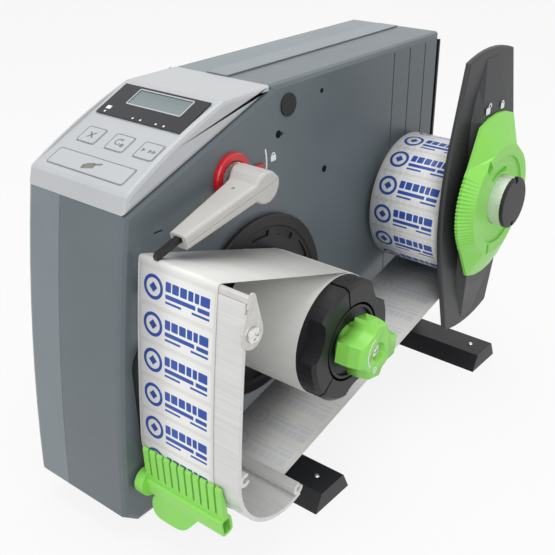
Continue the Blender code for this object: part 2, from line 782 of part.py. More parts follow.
def make_inlet(opening, end):
    """A three pin inlet, sunk into the housing behind the rear panel."""
    middle, height, half_width, half_height = opening
    start = end - INLET_DEPTH
    inlet = piece("power_inlet", solid(rear_block(opening, 0.0, start, end)), BLACK)
    floor = start + INLET_WALL
    cut(inlet, "well", rear_block(opening, -INLET_WALL, floor, end + OVERRUN))
    pins = []
    for share, rise in ((-1, 0.0), (0, INLET_PIN / 2), (1, 0.0)):
        x = middle + share * half_width / 2
        pins.append(box(
            (x - INLET_PIN_THICKNESS / 2, floor - INLET_WALL / 2, height + rise - INLET_PIN / 2),
            (x + INLET_PIN_THICKNESS / 2, end - INLET_PIN, height + rise + INLET_PIN / 2),
        ))
    join(inlet, "pins", *pins)


def make_rocker(opening, start, end):
    """The switch rocker: two faces that meet at a shallow angle over its pivot."""
    middle, height, half_width, half_height = opening
    low = height - half_height
    high = height + half_height
    outline = [
        (start, low), (end, low), (end + ROCKER_THROW / 4, height),
        (end + ROCKER_THROW, high), (start, high),
    ]
    origin = (middle, start, height)
    piece("power_rocker", solid(prism(outline, middle - half_width, middle + half_width)), BLACK, origin)


# Key panel: places on it are (x, distance up the slope, height off the slope)
SLOPE_COS = math.cos(math.radians(PANEL_SLOPE_ANGLE))
SLOPE_SIN = math.sin(math.radians(PANEL_SLOPE_ANGLE))
SLOPE_Y = PANEL_FRONT_Y + PANEL_LIP_LEAN + PANEL_NOSE
SLOPE_Z = PANEL_FRONT_Z + PANEL_LIP_HEIGHT + PANEL_NOSE


def on_slope(x, along, off):
    """A place on the panel's slope in the housing's frame."""
    y = SLOPE_Y + along * SLOPE_COS - off * SLOPE_SIN
    z = SLOPE_Z + along * SLOPE_SIN + off * SLOPE_COS
    return Vector((x, y, z))


def slab(left, width, start, length, low, high, radius=0.0):
    """A plate lying on the slope, with rounded corners where radius is given."""
    outline = rectangle((-left + width / 2, start + length / 2), width, length)
    if radius:
        outline = rounded(outline, radius)
    return [[on_slope(x, along, off) for x, along in outline] for off in (low, high)]


def panel_outline():
    """The side view of the key panel, from its seam with the housing up to its skin."""
    slope_end = on_slope(0.0, PANEL_SLOPE_LENGTH, 0.0)
    slope_start = (SLOPE_Y, SLOPE_Z)
    top = bulged((slope_end.y, slope_end.z), slope_start, PANEL_SLOPE_SWELL, ARC_STEPS)
    crown = (slope_end.y + (HOUSING_TOP - slope_end.z) * 3, HOUSING_TOP)
    return [
        (PANEL_FRONT_Y, PANEL_FRONT_Z + GAP),
        (PANEL_BACK, seam_height(PANEL_BACK) + GAP),
        (PANEL_BACK, HOUSING_TOP),
        crown,
    ] + top + [(PANEL_FRONT_Y + PANEL_LIP_LEAN, PANEL_FRONT_Z + PANEL_LIP_HEIGHT)]


def make_panel():
    """The pale key panel, hollow underneath, with a flat keypad let into its slope."""
    outline = panel_outline()
    rings = softened(outline, -HOUSING_WIDTH, 0.0, PANEL_ROUND, both=True)
    panel = piece("key_panel", solid(rings), PANEL_PAINT)
    cavity = inset(outline, PANEL_SHELL)
    cavity[:2] = [(y, z - 3 * PANEL_SHELL) for y, z in cavity[:2]]
    cut(panel, "cavity", prism(cavity, -HOUSING_WIDTH + SHELL, -SHELL))
    pad_length = WINDOW_START + WINDOW_LENGTH + GAP - KEYPAD_START
    height = HOUSING_TOP - PANEL_FRONT_Z
    cut(panel, "keypad", slab(KEYPAD_LEFT, KEYPAD_WIDTH, KEYPAD_START, pad_length, KEYPAD_RISE, height))
    pockets = []
    pocket_floor = KEYPAD_RISE + KEY_PROUD - KEY_THICKNESS - KEY_TRAVEL - GAP
    for left, width, start, length in key_places():
        wide = width + 2 * GAP
        long = length + 2 * GAP
        pockets.append(slab(left + GAP, wide, start - GAP, long, pocket_floor, KEYPAD_RISE + GAP, KEY_ROUND))
    cut(panel, "key_pockets", *pockets)


def key_places():
    """Left edge, width, start and length of each key, the wide one last."""
    places = []
    for share in SMALL_KEY_LEFT_SHARES:
        left = KEYPAD_LEFT - KEYPAD_WIDTH * share
        places.append((left, SMALL_KEY_WIDTH, SMALL_KEY_START, SMALL_KEY_LENGTH))
    places.append((WIDE_KEY_LEFT, WIDE_KEY_WIDTH, WIDE_KEY_START, WIDE_KEY_LENGTH))
    return places


def make_keys():
    """Four flat keys that press straight into the slope."""
    names = ("clear_key", "mode_key", "advance_key", "dispense_key")
    high = KEYPAD_RISE + KEY_PROUD
    for name, (left, width, start, length) in zip(names, key_places()):
        shells = solid(slab(left, width, start, length, high - KEY_THICKNESS, high, KEY_ROUND))
        origin = on_slope(-left + width / 2, start + length / 2, high)
        piece(name, shells, PANEL_PAINT, tuple(origin))


def make_window():
    """The dark display window and the screen that sits in its opening."""
    low = KEYPAD_RISE + GAP
    window = piece("display_window", solid(slab(
        WINDOW_LEFT, WINDOW_WIDTH, WINDOW_START, WINDOW_LENGTH, low, low + WINDOW_THICKNESS,
    )), WINDOW_PAINT)
    cut(window, "screen_opening", slab(
        LCD_LEFT + GAP, LCD_WIDTH + 2 * GAP, LCD_START - GAP, LCD_LENGTH + 2 * GAP,
        low - OVERRUN, low + WINDOW_THICKNESS + OVERRUN,
    ))
    screen = slab(LCD_LEFT, LCD_WIDTH, LCD_START, LCD_LENGTH, low, low + LCD_THICKNESS)
    piece("lcd_screen", solid(screen), LCD_PAINT)


def make_wall_plug():
    """The round black plug pressed on the side wall."""
    edge = PLUG_THICKNESS / 3
    top = GAP + PLUG_THICKNESS
    profile = [(GAP, PLUG_RADIUS), (top - edge, PLUG_RADIUS), (top, PLUG_RADIUS - edge)]
    piece("wall_plug", solid(turned(PLUG_PLACE, profile, MEDIUM)), BLACK)


# Feet
def make_feet():
    """Two bars that reach out under the mechanism, wider at the desk, and their screws."""
    screw_x = FOOT_REACH - FOOT_SCREW_FROM_END
    for name, y in (("front_foot", FRONT_FOOT_Y), ("rear_foot", REAR_FOOT_Y)):
        outline = [
            (y - FOOT_BASE_WIDTH / 2, 0.0),
            (y + FOOT_BASE_WIDTH / 2, 0.0),
            (y + FOOT_TOP_WIDTH / 2, FOOT_HEIGHT),
            (y - FOOT_TOP_WIDTH / 2, FOOT_HEIGHT),
        ]
        piece(name, solid(prism(outline, -HOUSING_WIDTH + FOOT_INSET, FOOT_REACH)), BLACK)
        rings = []
        for z, radius in ((FOOT_HEIGHT + GAP, 1.0), (FOOT_HEIGHT + GAP + FOOT_SCREW_HEIGHT, 0.7)):
            points = circle((screw_x, y), FOOT_SCREW_RADIUS * radius, COARSE)
            rings.append([Vector((x, along, z)) for x, along in points])
        piece(name + "_screw", solid(rings), STEEL)


# Dispensing plate
BEND = (BEND_Y, BEND_Z)


def face_path():
    """The outer face of the plate, from its rear lip round the bend and up to the peel edge."""
    bend = arc(BEND, BEND_RADIUS, BEND_END_ANGLE, -180.0 - FRONT_START_LEAN, 2 * ARC_STEPS)
    front = bulged((PLATE_TOP_Y, PLATE_TOP_Z), bend[-1], PLATE_SWELL, ARC_STEPS)
    return bend + front[::-1][1:]


def face_y(z):
    """Where the plate's outer front face stands at a height."""
    path = face_path()
    for (near_y, near_z), (far_y, far_z) in zip(path, path[1:]):
        if near_z <= z <= far_z:
            return near_y + (far_y - near_y) * (z - near_z) / (far_z - near_z)
    return PLATE_TOP_Y


def channel(centre, mouth):
    """An open screw channel, a C with its mouth at the given angle."""
    outer = arc(centre, CHANNEL_RADIUS, mouth + CHANNEL_MOUTH, mouth + 360 - CHANNEL_MOUTH, COARSE)
    inner = arc(centre, CHANNEL_BORE, mouth + CHANNEL_MOUTH, mouth + 360 - CHANNEL_MOUTH, COARSE)
    return outer + inner[::-1]


def front_channel(z):
    """Centre of a screw channel on the back of the front wall."""
    return (face_y(z) + PLATE_WALL + CHANNEL_RADIUS - CHANNEL_SINK, z)


def make_plate():
    """The aluminium profile with its three screw channels."""
    top = BEND_Z + (PLATE_TOP_Z - BEND_Z) * PLATE_HEIGHT_SHARE
    path = [point for point in face_path() if point[1] < top or point[0] > BEND_Y]
    path.append((face_y(top), top))
    back = moved_sideways(path, -PLATE_WALL)
    outline = path + back[::-1]
    plate = piece("dispensing_plate", solid(prism(outline, PLATE_LEFT, PLATE_RIGHT)), ALUMINIUM)
    lip = math.radians(BEND_END_ANGLE)
    lip_reach = BEND_RADIUS - PLATE_WALL - CHANNEL_RADIUS + CHANNEL_SINK
    lip_centre = (BEND_Y + lip_reach * math.cos(lip), BEND_Z + lip_reach * math.sin(lip))
    centres = (
        (front_channel(FRONT_CHANNEL_Z), FRONT_MOUTH_ANGLE),
        (front_channel(TOP_CHANNEL_Z), TOP_MOUTH_ANGLE),
        (lip_centre, LIP_MOUTH_ANGLE),
    )
    for index, (centre, mouth) in enumerate(centres):
        join(plate, "channel_%d" % index, prism(channel(centre, mouth), PLATE_LEFT, PLATE_RIGHT))


def make_plate_mount():
    """The black boss that spaces the plate off the side wall."""
    heel = (MOUNT_HEEL_Y, MOUNT_HEEL_Z)
    disc = (MOUNT_DISC_Y, MOUNT_DISC_Z)
    outline = link_outline(heel, MOUNT_HEEL_RADIUS, disc, MOUNT_DISC_RADIUS, MEDIUM)
    mount = piece("plate_mount", solid(prism(outline, GAP, PLATE_LEFT - GAP)), BLACK)
    cut(mount, "bore", prism(circle(heel, MOUNT_BORE_RADIUS, MEDIUM), -OVERRUN, PLATE_LEFT + OVERRUN))


def nose_centre():
    """The centre of the rounded peel edge."""
    return (PLATE_TOP_Y + NOSE_RADIUS, PLATE_TOP_Z - NOSE_RADIUS)


def make_peel_edge():
    """The folded steel edge: a rounded nose, a skirt behind the plate and an ear at its end."""
    plate_top = BEND_Z + (PLATE_TOP_Z - BEND_Z) * PLATE_HEIGHT_SHARE
    centre = nose_centre()
    behind = face_y(plate_top) + PLATE_WALL + GAP
    foot = plate_top - EDGE_SKIRT
    foot_y = face_y(foot) + PLATE_WALL + GAP
    outline = [
        (face_y(plate_top), plate_top + GAP),
        (behind, plate_top + GAP),
        (foot_y, foot),
        (foot_y + EDGE_SHEET, foot),
        (behind + EDGE_SHEET, plate_top + EDGE_SHEET),
    ]
    outline += arc(centre, NOSE_RADIUS, NOSE_BACK_ANGLE, NOSE_FRONT_ANGLE, ARC_STEPS)
    ear_end = PLATE_RIGHT + GAP + EDGE_SHEET
    edge = piece("peel_edge", solid(prism(outline, PLATE_LEFT, ear_end)), STEEL)
    screw = front_channel(TOP_CHANNEL_Z)
    tip = (centre[0] + EAR_TIP_RADIUS, screw[1] + EAR_TIP_RISE)
    ear = link_outline(screw, EAR_RADIUS, tip, EAR_TIP_RADIUS, ARC_STEPS)
    join(edge, "ear", prism(ear, PLATE_RIGHT + GAP, ear_end))
    hole = circle(screw, SCREW_SHANK_RADIUS + GAP, COARSE)
    notch = circle((face_y(screw[1] + EAR_NOTCH_RISE), screw[1] + EAR_NOTCH_RISE), EAR_NOTCH, COARSE)
    cut(edge, "ear_holes", prism(hole, PLATE_RIGHT, ear_end + OVERRUN))
    cut(edge, "ear_notch", prism(notch, PLATE_RIGHT, ear_end + OVERRUN))


def make_edge_screw():
    """The cross slotted screw that holds the ear to the plate's upper channel."""
    centre = front_channel(TOP_CHANNEL_Z)
    seat = PLATE_RIGHT + 2 * GAP + EDGE_SHEET
    top = seat + SCREW_HEAD_HEIGHT
    profile = [
        (seat - SCREW_SHANK_LENGTH, SCREW_SHANK_RADIUS),
        (seat, SCREW_SHANK_RADIUS),
        (seat, SCREW_HEAD_RADIUS),
        (seat + SCREW_HEAD_HEIGHT / 2, SCREW_HEAD_RADIUS),
        (top - SCREW_HEAD_HEIGHT / 8, SCREW_HEAD_RADIUS * SCREW_DOME_SHARE),
        (top, SCREW_HEAD_RADIUS * SCREW_CROWN_SHARE),
    ]
    screw = piece("edge_screw", solid(turned(centre, profile, COARSE)), STEEL)
    for label, turn in (("cross_one", SCREW_CROSS_TURN), ("cross_two", SCREW_CROSS_TURN + 90.0)):
        slot = rectangle(centre, SCREW_CROSS_LENGTH, SCREW_CROSS_WIDTH, turn)
        cut(screw, label, prism(slot, top - SCREW_CROSS_DEPTH, top + OVERRUN))


# Pinch lever: places on it are (x, distance along the arm, height off the arm's line)
LEVER_COS = math.cos(math.radians(LEVER_DROP))
LEVER_SIN = math.sin(math.radians(LEVER_DROP))
LEVER_PIVOT = (0.0, LEVER_Y, LEVER_Z)


def on_lever(x, along, off):
    """A place on the lever in the housing's frame."""
    y = LEVER_Y - along * LEVER_COS - off * LEVER_SIN
    z = LEVER_Z - along * LEVER_SIN + off * LEVER_COS
    return Vector((x, y, z))


def lever_span(along):
    """Left and right side of the lever at a distance from its pivot."""
    share = min(max(along / LEVER_LENGTH, 0.0), 1.0)
    swell = min(max(along / BARREL_RADIUS - LEVER_HUB_START_SHARE, 0.0), 1.0)
    left_hub = BARREL_START + (LEVER_HUB_LEFT - BARREL_START) * swell
    left = left_hub + (LEVER_TIP_LEFT - left_hub) * share
    right = BARREL_END + (LEVER_TIP_RIGHT - BARREL_END) * share
    return left, right


def lever_height(along, upper):
    """Height of the lever's skin over or under its line."""
    reach = math.sqrt(max(BARREL_RADIUS ** 2 - along ** 2, 0.0))
    if upper:
        arm = LEVER_TOP
    else:
        arm = LEVER_UNDER + (LEVER_TIP_UNDER - LEVER_UNDER) * min(max(along / LEVER_LENGTH, 0.0), 1.0)
    if along < 0.0:
        return reach
    return max(reach, arm)


def lever_ring(along, upper):
    """One cross section of a half of the lever: flat at the parting, rounded at the skin."""
    left, right = lever_span(along)
    side = 1.0 if upper else -1.0
    parting = LEVER_PARTING + side * GAP / 2
    skin = side * lever_height(along, upper)
    depth = abs(skin - parting)
    corner = min(LEVER_ROUND, depth * LEVER_ROUND_SHARE)
    points = [(left, parting), (right, parting)]
    for step in range(LEVER_ROUND_STEPS + 1):
        angle = math.pi / 2 * step / LEVER_ROUND_STEPS
        across = right - corner + corner * math.cos(angle)
        points.append((across, skin - side * corner * (1 - math.sin(angle))))
    for step in range(LEVER_ROUND_STEPS + 1):
        angle = math.pi / 2 * step / LEVER_ROUND_STEPS
        across = left + corner - corner * math.sin(angle)
        points.append((across, skin - side * corner * (1 - math.cos(angle))))
    return [on_lever(x, along, off) for x, off in points]


def make_lever():
    """The two moulded halves of the lever and the black tongue in its tip."""
    lower_back = -math.sqrt(BARREL_RADIUS ** 2 - (LEVER_PARTING + GAP * 3) ** 2)
    stations = [lower_back]
    stations += [-BARREL_RADIUS * share for share in BARREL_BACK_SHARES]
    stations += [BARREL_RADIUS * share for share in BARREL_FRONT_SHARES]
    stations += [LEVER_LENGTH * share for share in ARM_SHARES]
    tongue_box = (TONGUE_LEFT - GAP, TONGUE_LEFT + TONGUE_WIDTH + GAP)
    for name, upper in (("lever_upper_half", True), ("lever_lower_half", False)):
        rings = [lever_ring(along, upper) for along in stations]
        half = piece(name, solid(rings), PANEL_PAINT, LEVER_PIVOT)
        bore = circle((LEVER_Y, LEVER_Z), PIVOT_RADIUS + RUN, COARSE)
        cut(half, "pivot_bore", prism(bore, 0.0, PIVOT_END + RUN))
        slot = []
        for along in (LEVER_LENGTH - TONGUE_SUNK - GAP, LEVER_LENGTH + OVERRUN):
            low, high = tongue_heights(along)
            slot.append([
                on_lever(x, along, off)
                for x, off in ((tongue_box[0], low - GAP), (tongue_box[1], low - GAP),
                               (tongue_box[1], high + GAP), (tongue_box[0], high + GAP))
            ])
        cut(half, "tongue_slot", slot)
        if upper:
            mark = []
            for off in (LEVER_TOP - SCREW_HOLE_DEPTH, LEVER_TOP + OVERRUN):
                spots = circle((LEVER_HOLE_ACROSS, LEVER_HOLE_ALONG), LEVER_HOLE_RADIUS, COARSE)
                mark.append([on_lever(x, along, off) for x, along in spots])
            cut(half, "screw_hole", mark)
    make_tongue()


def tongue_line():
    """Start and end of the tongue's underside, along and off the lever."""
    centre = nose_centre()
    rest = NOSE_RADIUS + 2 * GAP + WEB_THICKNESS
    end = Vector((centre[0] - LEVER_Y, centre[1] + rest - LEVER_Z))
    along = -end.x * LEVER_COS - end.y * LEVER_SIN
    off = -end.x * LEVER_SIN + end.y * LEVER_COS
    start = (LEVER_LENGTH - TONGUE_SUNK, LEVER_TIP_UNDER * TONGUE_HEEL_SHARE)
    return start, (along + NOSE_RADIUS, off)


def tongue_heights(along):
    """Underside and top of the tongue at a distance along the lever."""
    (start_along, start_off), (end_along, end_off) = tongue_line()
    share = (along - start_along) / (end_along - start_along)
    low = start_off + (end_off - start_off) * share
    return low, low + TONGUE_THICKNESS


def make_tongue():
    """The tongue that presses the liner on the peel edge, thinner and rounded at its end."""
    (start_along, _), (end_along, _) = tongue_line()
    rings = []
    right = TONGUE_LEFT + TONGUE_WIDTH
    for share, trim in TONGUE_TIP_SHARES:
        along = start_along + (end_along - start_along) * share
        low, high = tongue_heights(along)
        high -= TONGUE_THICKNESS * trim
        drawn = TONGUE_WIDTH * trim / 3
        corners = (
            (TONGUE_LEFT + drawn, low), (right - drawn, low),
            (right - drawn, high), (TONGUE_LEFT + drawn, high),
        )
        rings.append([on_lever(x, along, off) for x, off in corners])
    piece("lever_tongue", solid(rings), BLACK, LEVER_PIVOT)


def make_lever_pivot():
    """The steel pivot of the lever, with the flange that the red ring turns on."""
    flange_end = RING_THICKNESS
    profile = [
        (GAP, PIVOT_FLANGE_RADIUS), (flange_end, PIVOT_FLANGE_RADIUS),
        (flange_end, PIVOT_RADIUS), (PIVOT_END, PIVOT_RADIUS),
    ]
    piece("lever_pivot", solid(turned((LEVER_Y, LEVER_Z), profile, MEDIUM)), STEEL)


def make_lever_ring():
    """The red ring behind the lever, with a pointer to the scale on the wall."""
    centre = (LEVER_Y, LEVER_Z)
    inner = PIVOT_FLANGE_RADIUS + GAP
    start = GAP
    end = start + RING_THICKNESS
    edge = RING_THICKNESS / 4
    profile = [
        (start, inner), (start, RING_RADIUS), (end - edge, RING_RADIUS),
        (end, RING_RADIUS - edge), (end, inner + edge), (end - edge, inner),
    ]
    item = piece("lever_ring", bored(turned(centre, profile, MEDIUM)), RED, LEVER_PIVOT)
    middle = (RING_RADIUS + RING_POINTER_REACH - edge) / 2
    turn = math.radians(RING_POINTER_ANGLE)
    place = (LEVER_Y + middle * math.cos(turn), LEVER_Z + middle * math.sin(turn))
    length = RING_POINTER_REACH - RING_RADIUS + 3 * edge
    pointer = rectangle(place, length, RING_POINTER_WIDTH, RING_POINTER_ANGLE)
    join(item, "pointer", prism(pointer, start + edge / 4, start + edge / 4 + RING_POINTER_THICKNESS))


# Label web and liner
def web_path():
    """The side of the web that faces the plate, from the roll to the top of the drum."""
    skin = moved_sideways(face_path(), GAP)
    bend_radius = BEND_RADIUS + GAP
    roll = (UNWIND_Y, roll_height())
    start, touch = belt(roll, ROLL_RADIUS + GAP, BEND, bend_radius)
    first = bearing(BEND, touch)
    bend = arc(BEND, bend_radius, first, -180.0 - FRONT_START_LEAN, 2 * ARC_STEPS)
    front = [point for point in skin if point[1] > bend[-1][1] and point[0] < BEND_Y]
    nose = nose_centre()
    drum = (REWIND_Y, REWIND_Z)
    leave, land = belt(nose, NOSE_RADIUS + GAP, drum, wrap_radius() + GAP)
    front = [point for point in front if point[1] < nose[1]]
    top = arc(nose, NOSE_RADIUS + GAP, WEB_NOSE_ANGLE, bearing(nose, leave), ARC_STEPS)
    return [start] + bend + front + top + [land]


def wrap_radius():
    """Outer radius of the liner wound on the drum."""
    return DRUM_RADIUS + GAP + WRAP_THICKNESS


def roll_height():
    """The roll hangs on the shaft by the top of its core."""
    return UNWIND_Z + SHAFT_RADIUS + GAP - CORE_BORE_RADIUS


def make_web():
    """The web of labels on its liner, one strip from the roll to the rewinder."""
    path = web_path()
    outer = moved_sideways(path, WEB_THICKNESS)
    outline = path + outer[::-1]
    piece("label_web", solid(prism(outline, WEB_LEFT, WEB_LEFT + WEB_WIDTH)), PAPER)


# Comb brake
COMB_AXIS = (COMB_AXIS_Y, COMB_AXIS_Z)
COMB_ORIGIN = (0.0, COMB_AXIS_Y, COMB_AXIS_Z)


def make_comb():
    """The green comb that holds the web on the bend: fingers, hollow back, end disc and tab."""
    square = rectangle(COMB_AXIS, COMB_TUBE_WIDTH, COMB_TUBE_HEIGHT, COMB_TUBE_TILT)
    tube = rounded(square, COMB_TUBE_WIDTH * COMB_TUBE_ROUND_SHARE)
    comb = piece("comb_brake", solid(prism(tube, COMB_LEFT, COMB_RIGHT)), GREEN, COMB_ORIGIN)
    clear = WEB_THICKNESS + 2 * GAP
    web_side = [point for point in moved_sideways(face_path(), clear)
                if COMB_FLAT_FROM_Z < point[1] < COMB_TIP_Z and point[0] < BEND_Y]
    tip = (face_y(COMB_TIP_Z) - clear, COMB_TIP_Z)
    web_side.append(tip)
    root_z = COMB_AXIS_Z + COMB_TUBE_HEIGHT / 4
    outline = [
        (COMB_AXIS_Y - COMB_TUBE_WIDTH / 2 + COMB_TUBE_WALL, root_z),
        (COMB_AXIS_Y + COMB_TUBE_WIDTH / 4, root_z),
    ] + web_side + [
        (tip[0] - COMB_FINGER / 2, COMB_TIP_Z),
        (tip[0] - COMB_FINGER, COMB_TIP_Z - COMB_FINGER),
        (tip[0] - COMB_FINGER * COMB_FINGER_WAIST_SHARE, (COMB_TIP_Z + COMB_SLOT_BOTTOM_Z) / 2),
    ]
    join(comb, "blade", prism(outline, COMB_LEFT, COMB_RIGHT))
    pitch = (COMB_RIGHT - COMB_LEFT + COMB_SLOT_WIDTH) / COMB_FINGERS
    slots = []
    near = COMB_AXIS_Y - COMB_TUBE_WIDTH
    far = BEND_Y
    for index in range(1, COMB_FINGERS):
        x = COMB_LEFT + pitch * index - COMB_SLOT_WIDTH / 2
        round_end = arc((x, COMB_SLOT_BOTTOM_Z), COMB_SLOT_WIDTH / 2, -180.0, 0.0, 4)
        high = COMB_TIP_Z + OVERRUN
        points = round_end + [(x + COMB_SLOT_WIDTH / 2, high), (x - COMB_SLOT_WIDTH / 2, high)]
        slots.append([[Vector((px, y, pz)) for px, pz in points] for y in (near, far)])
    cut(comb, "slots", *slots)
    bottom = COMB_AXIS_Z - COMB_TUBE_HEIGHT / 2
    tab_y = COMB_AXIS_Y - COMB_TUBE_WIDTH / 4
    slope = (COMB_TAB_RIGHT - COMB_TAB_LEFT) / 3
    corners = [
        (COMB_TAB_LEFT, bottom + COMB_TUBE_WALL),
        (COMB_TAB_LEFT, COMB_TAB_DROP),
        (COMB_TAB_RIGHT - slope, COMB_TAB_DROP),
        (COMB_TAB_RIGHT, bottom),
        (COMB_TAB_RIGHT, bottom + COMB_TUBE_WALL),
    ]
    tab = rounded(corners, (bottom - COMB_TAB_DROP) / 2, 4)
    thick = COMB_TAB_THICKNESS
    join(comb, "tab", [[Vector((x, y, z)) for x, z in tab] for y in (tab_y - thick / 2, tab_y + thick / 2)])
    disc = circle(COMB_AXIS, COMB_KNOB_RADIUS, MEDIUM)
    join(comb, "end_disc", prism(disc, COMB_KNOB_START, COMB_LEFT + COMB_TUBE_WALL))
    hollow = inset(tube, COMB_TUBE_WALL)
    cut(comb, "hollow", prism(hollow, COMB_LEFT + 2 * COMB_TUBE_WALL, COMB_RIGHT + OVERRUN))
    bore = circle(COMB_AXIS, COMB_ROD_RADIUS + GAP, COARSE)
    cut(comb, "rod_bore", prism(bore, 0.0, COMB_LEFT + 3 * COMB_TUBE_WALL))


def make_comb_rod():
    """The steel rod on the side wall that the comb clips on and turns about."""
    profile = [
        (GAP, COMB_ROD_RADIUS + COMB_TUBE_WALL), (COMB_KNOB_START - GAP, COMB_ROD_RADIUS + COMB_TUBE_WALL),
        (COMB_KNOB_START - GAP, COMB_ROD_RADIUS), (COMB_ROD_REACH, COMB_ROD_RADIUS),
    ]
    piece("comb_rod", solid(turned(COMB_AXIS, profile, COARSE)), STEEL)


# Rewinder
REWIND = (REWIND_Y, REWIND_Z)
REWIND_ORIGIN = (0.0, REWIND_Y, REWIND_Z)


def make_flange():
    """The black disc at the wall, with a raised rim, a dished face and a ring of windows."""
    start = FLANGE_START
    end = start + FLANGE_THICKNESS
    edge = FLANGE_THICKNESS / 4
    bore = REWIND_SHAFT_RADIUS + GAP
    profile = [
        (start, bore), (start, FLANGE_RADIUS - edge),
        (start + edge, FLANGE_RADIUS), (end - edge, FLANGE_RADIUS),
        (end, FLANGE_RADIUS - edge), (end, FLANGE_RADIUS - FLANGE_RIM),
        (end - FLANGE_DISH, FLANGE_RADIUS - FLANGE_RIM - FLANGE_DISH), (end - FLANGE_DISH, bore),
    ]
    flange = piece("rewind_flange", bored(turned(REWIND, profile, FINE)), BLACK, REWIND_ORIGIN)
    windows = []
    for index in range(FLANGE_WINDOWS):
        middle = 360.0 * index / FLANGE_WINDOWS
        first = middle - FLANGE_WINDOW_SPREAD / 2
        last = middle + FLANGE_WINDOW_SPREAD / 2
        outer = arc(REWIND, FLANGE_WINDOW_OUTER, first, last, 3)
        inner = arc(REWIND, FLANGE_WINDOW_OUTER - FLANGE_WINDOW_DEPTH, first, last, 3)
        windows.append(prism(outer + inner[::-1], end - 2 * FLANGE_DISH, end + OVERRUN))
    cut(flange, "windows", *windows)


def spun(profile, start, end, steps):
    """A profile of (x, radius) pairs swept round the rewinder's axis."""
    rings = []
    for step in range(steps + 1):
        angle = math.radians(start + (end - start) * step / steps)
        rings.append([
            Vector((x, REWIND_Y + radius * math.cos(angle), REWIND_Z + radius * math.sin(angle)))
            for x, radius in profile
        ])
    return rings


def make_drum():
    """Three shells that form the expanding drum, each with a finger scallop at its end."""
    spread = 360.0 / DRUM_SEGMENTS
    split = math.degrees(DRUM_SPLIT / 2 / DRUM_MOUTH_RADIUS)
    profile = [
        (DRUM_START, DRUM_RADIUS), (DRUM_END - DRUM_CHAMFER, DRUM_RADIUS),
        (DRUM_END, DRUM_RADIUS - DRUM_CHAMFER),
        (DRUM_END, DRUM_MOUTH_RADIUS), (DRUM_END - DRUM_CAP, DRUM_MOUTH_RADIUS),
        (DRUM_END - DRUM_CAP, DRUM_RADIUS - DRUM_WALL), (DRUM_START, DRUM_RADIUS - DRUM_WALL),
    ]
    for index in range(DRUM_SEGMENTS):
        first = DRUM_SPLIT_ANGLE + spread * index
        rings = spun(profile, first + split, first + spread - split, DRUM_SEGMENT_STEPS)
        segment = piece("drum_segment_%d" % (index + 1), solid(rings), BLACK, REWIND_ORIGIN)
        middle = math.radians(first + spread / 2)
        y = REWIND_Y + SCALLOP_DISTANCE * math.cos(middle)
        z = REWIND_Z + SCALLOP_DISTANCE * math.sin(middle)
        scallop = circle((y, z), SCALLOP_RADIUS, FINE)
        cut(segment, "scallop", prism(scallop, DRUM_END - SCALLOP_WIDTH, DRUM_END + OVERRUN))


def make_hub():
    """The hub inside the drum and the ring that keeps the shells together at the mouth."""
    start = FLANGE_START + FLANGE_THICKNESS - FLANGE_DISH + GAP
    lift = DRUM_START - start + DRUM_WALL
    bore = REWIND_SHAFT_RADIUS + GAP
    bearing_radius = DRUM_RADIUS - DRUM_WALL - DRUM_RELEASE - GAP
    profile = [
        (start, bore), (start, bearing_radius),
        (start + lift, bearing_radius), (start + 2 * lift, HUB_WAIST_RADIUS),
        (DRUM_END - 2 * DRUM_CAP, HUB_WAIST_RADIUS), (DRUM_END - DRUM_CAP - lift, bearing_radius),
        (DRUM_END - DRUM_CAP - GAP, bearing_radius), (DRUM_END - DRUM_CAP - GAP, HUB_RADIUS),
        (HUB_END, HUB_RADIUS), (HUB_END, bore),
    ]
    piece("drum_hub", bored(turned(REWIND, profile, MEDIUM)), BLACK, REWIND_ORIGIN)
    inner = HUB_RADIUS + GAP
    outer = inner + DRUM_RING_THICKNESS
    high = DRUM_END
    low = high - DRUM_RING_WIDTH
    ring_profile = [
        (low, inner), (low, outer), (high - GAP, outer),
        (high, (inner + outer) / 2), (high - GAP, inner),
    ]
    piece("drum_ring", bored(turned(REWIND, ring_profile, MEDIUM)), BLACK, REWIND_ORIGIN)


def make_rewind_shaft():
    """The steel shaft that carries the drum, from the gear inside to the knob."""
    seat = KNOB_END - KNOB_RECESS_DEPTH
    profile = [(-REWIND_SHAFT_INNER_END, REWIND_SHAFT_RADIUS), (seat - 3 * GAP, REWIND_SHAFT_RADIUS)]
    piece("rewind_shaft", solid(turned(REWIND, profile, COARSE)), STEEL, REWIND_ORIGIN)


def knob_outline(share):
    """Four blunt lobes with hollow flanks between them."""
    points = []
    pitch = 360.0 / KNOB_LOBES
    for lobe in range(KNOB_LOBES):
        first = KNOB_FIRST_LOBE + pitch * lobe + KNOB_LOBE_HALF_ANGLE
        for step in range(KNOB_FLANK_STEPS + 1):
            place = step / KNOB_FLANK_STEPS
            dip = min(KNOB_DIP_SHARE * math.sin(math.pi * place), 1.0)
            radius = (KNOB_RADIUS - (KNOB_RADIUS - KNOB_VALLEY) * dip) * share
            angle = first + (pitch - 2 * KNOB_LOBE_HALF_ANGLE) * place
            points += arc(REWIND, radius, angle, angle, 1)[:1]
    return points


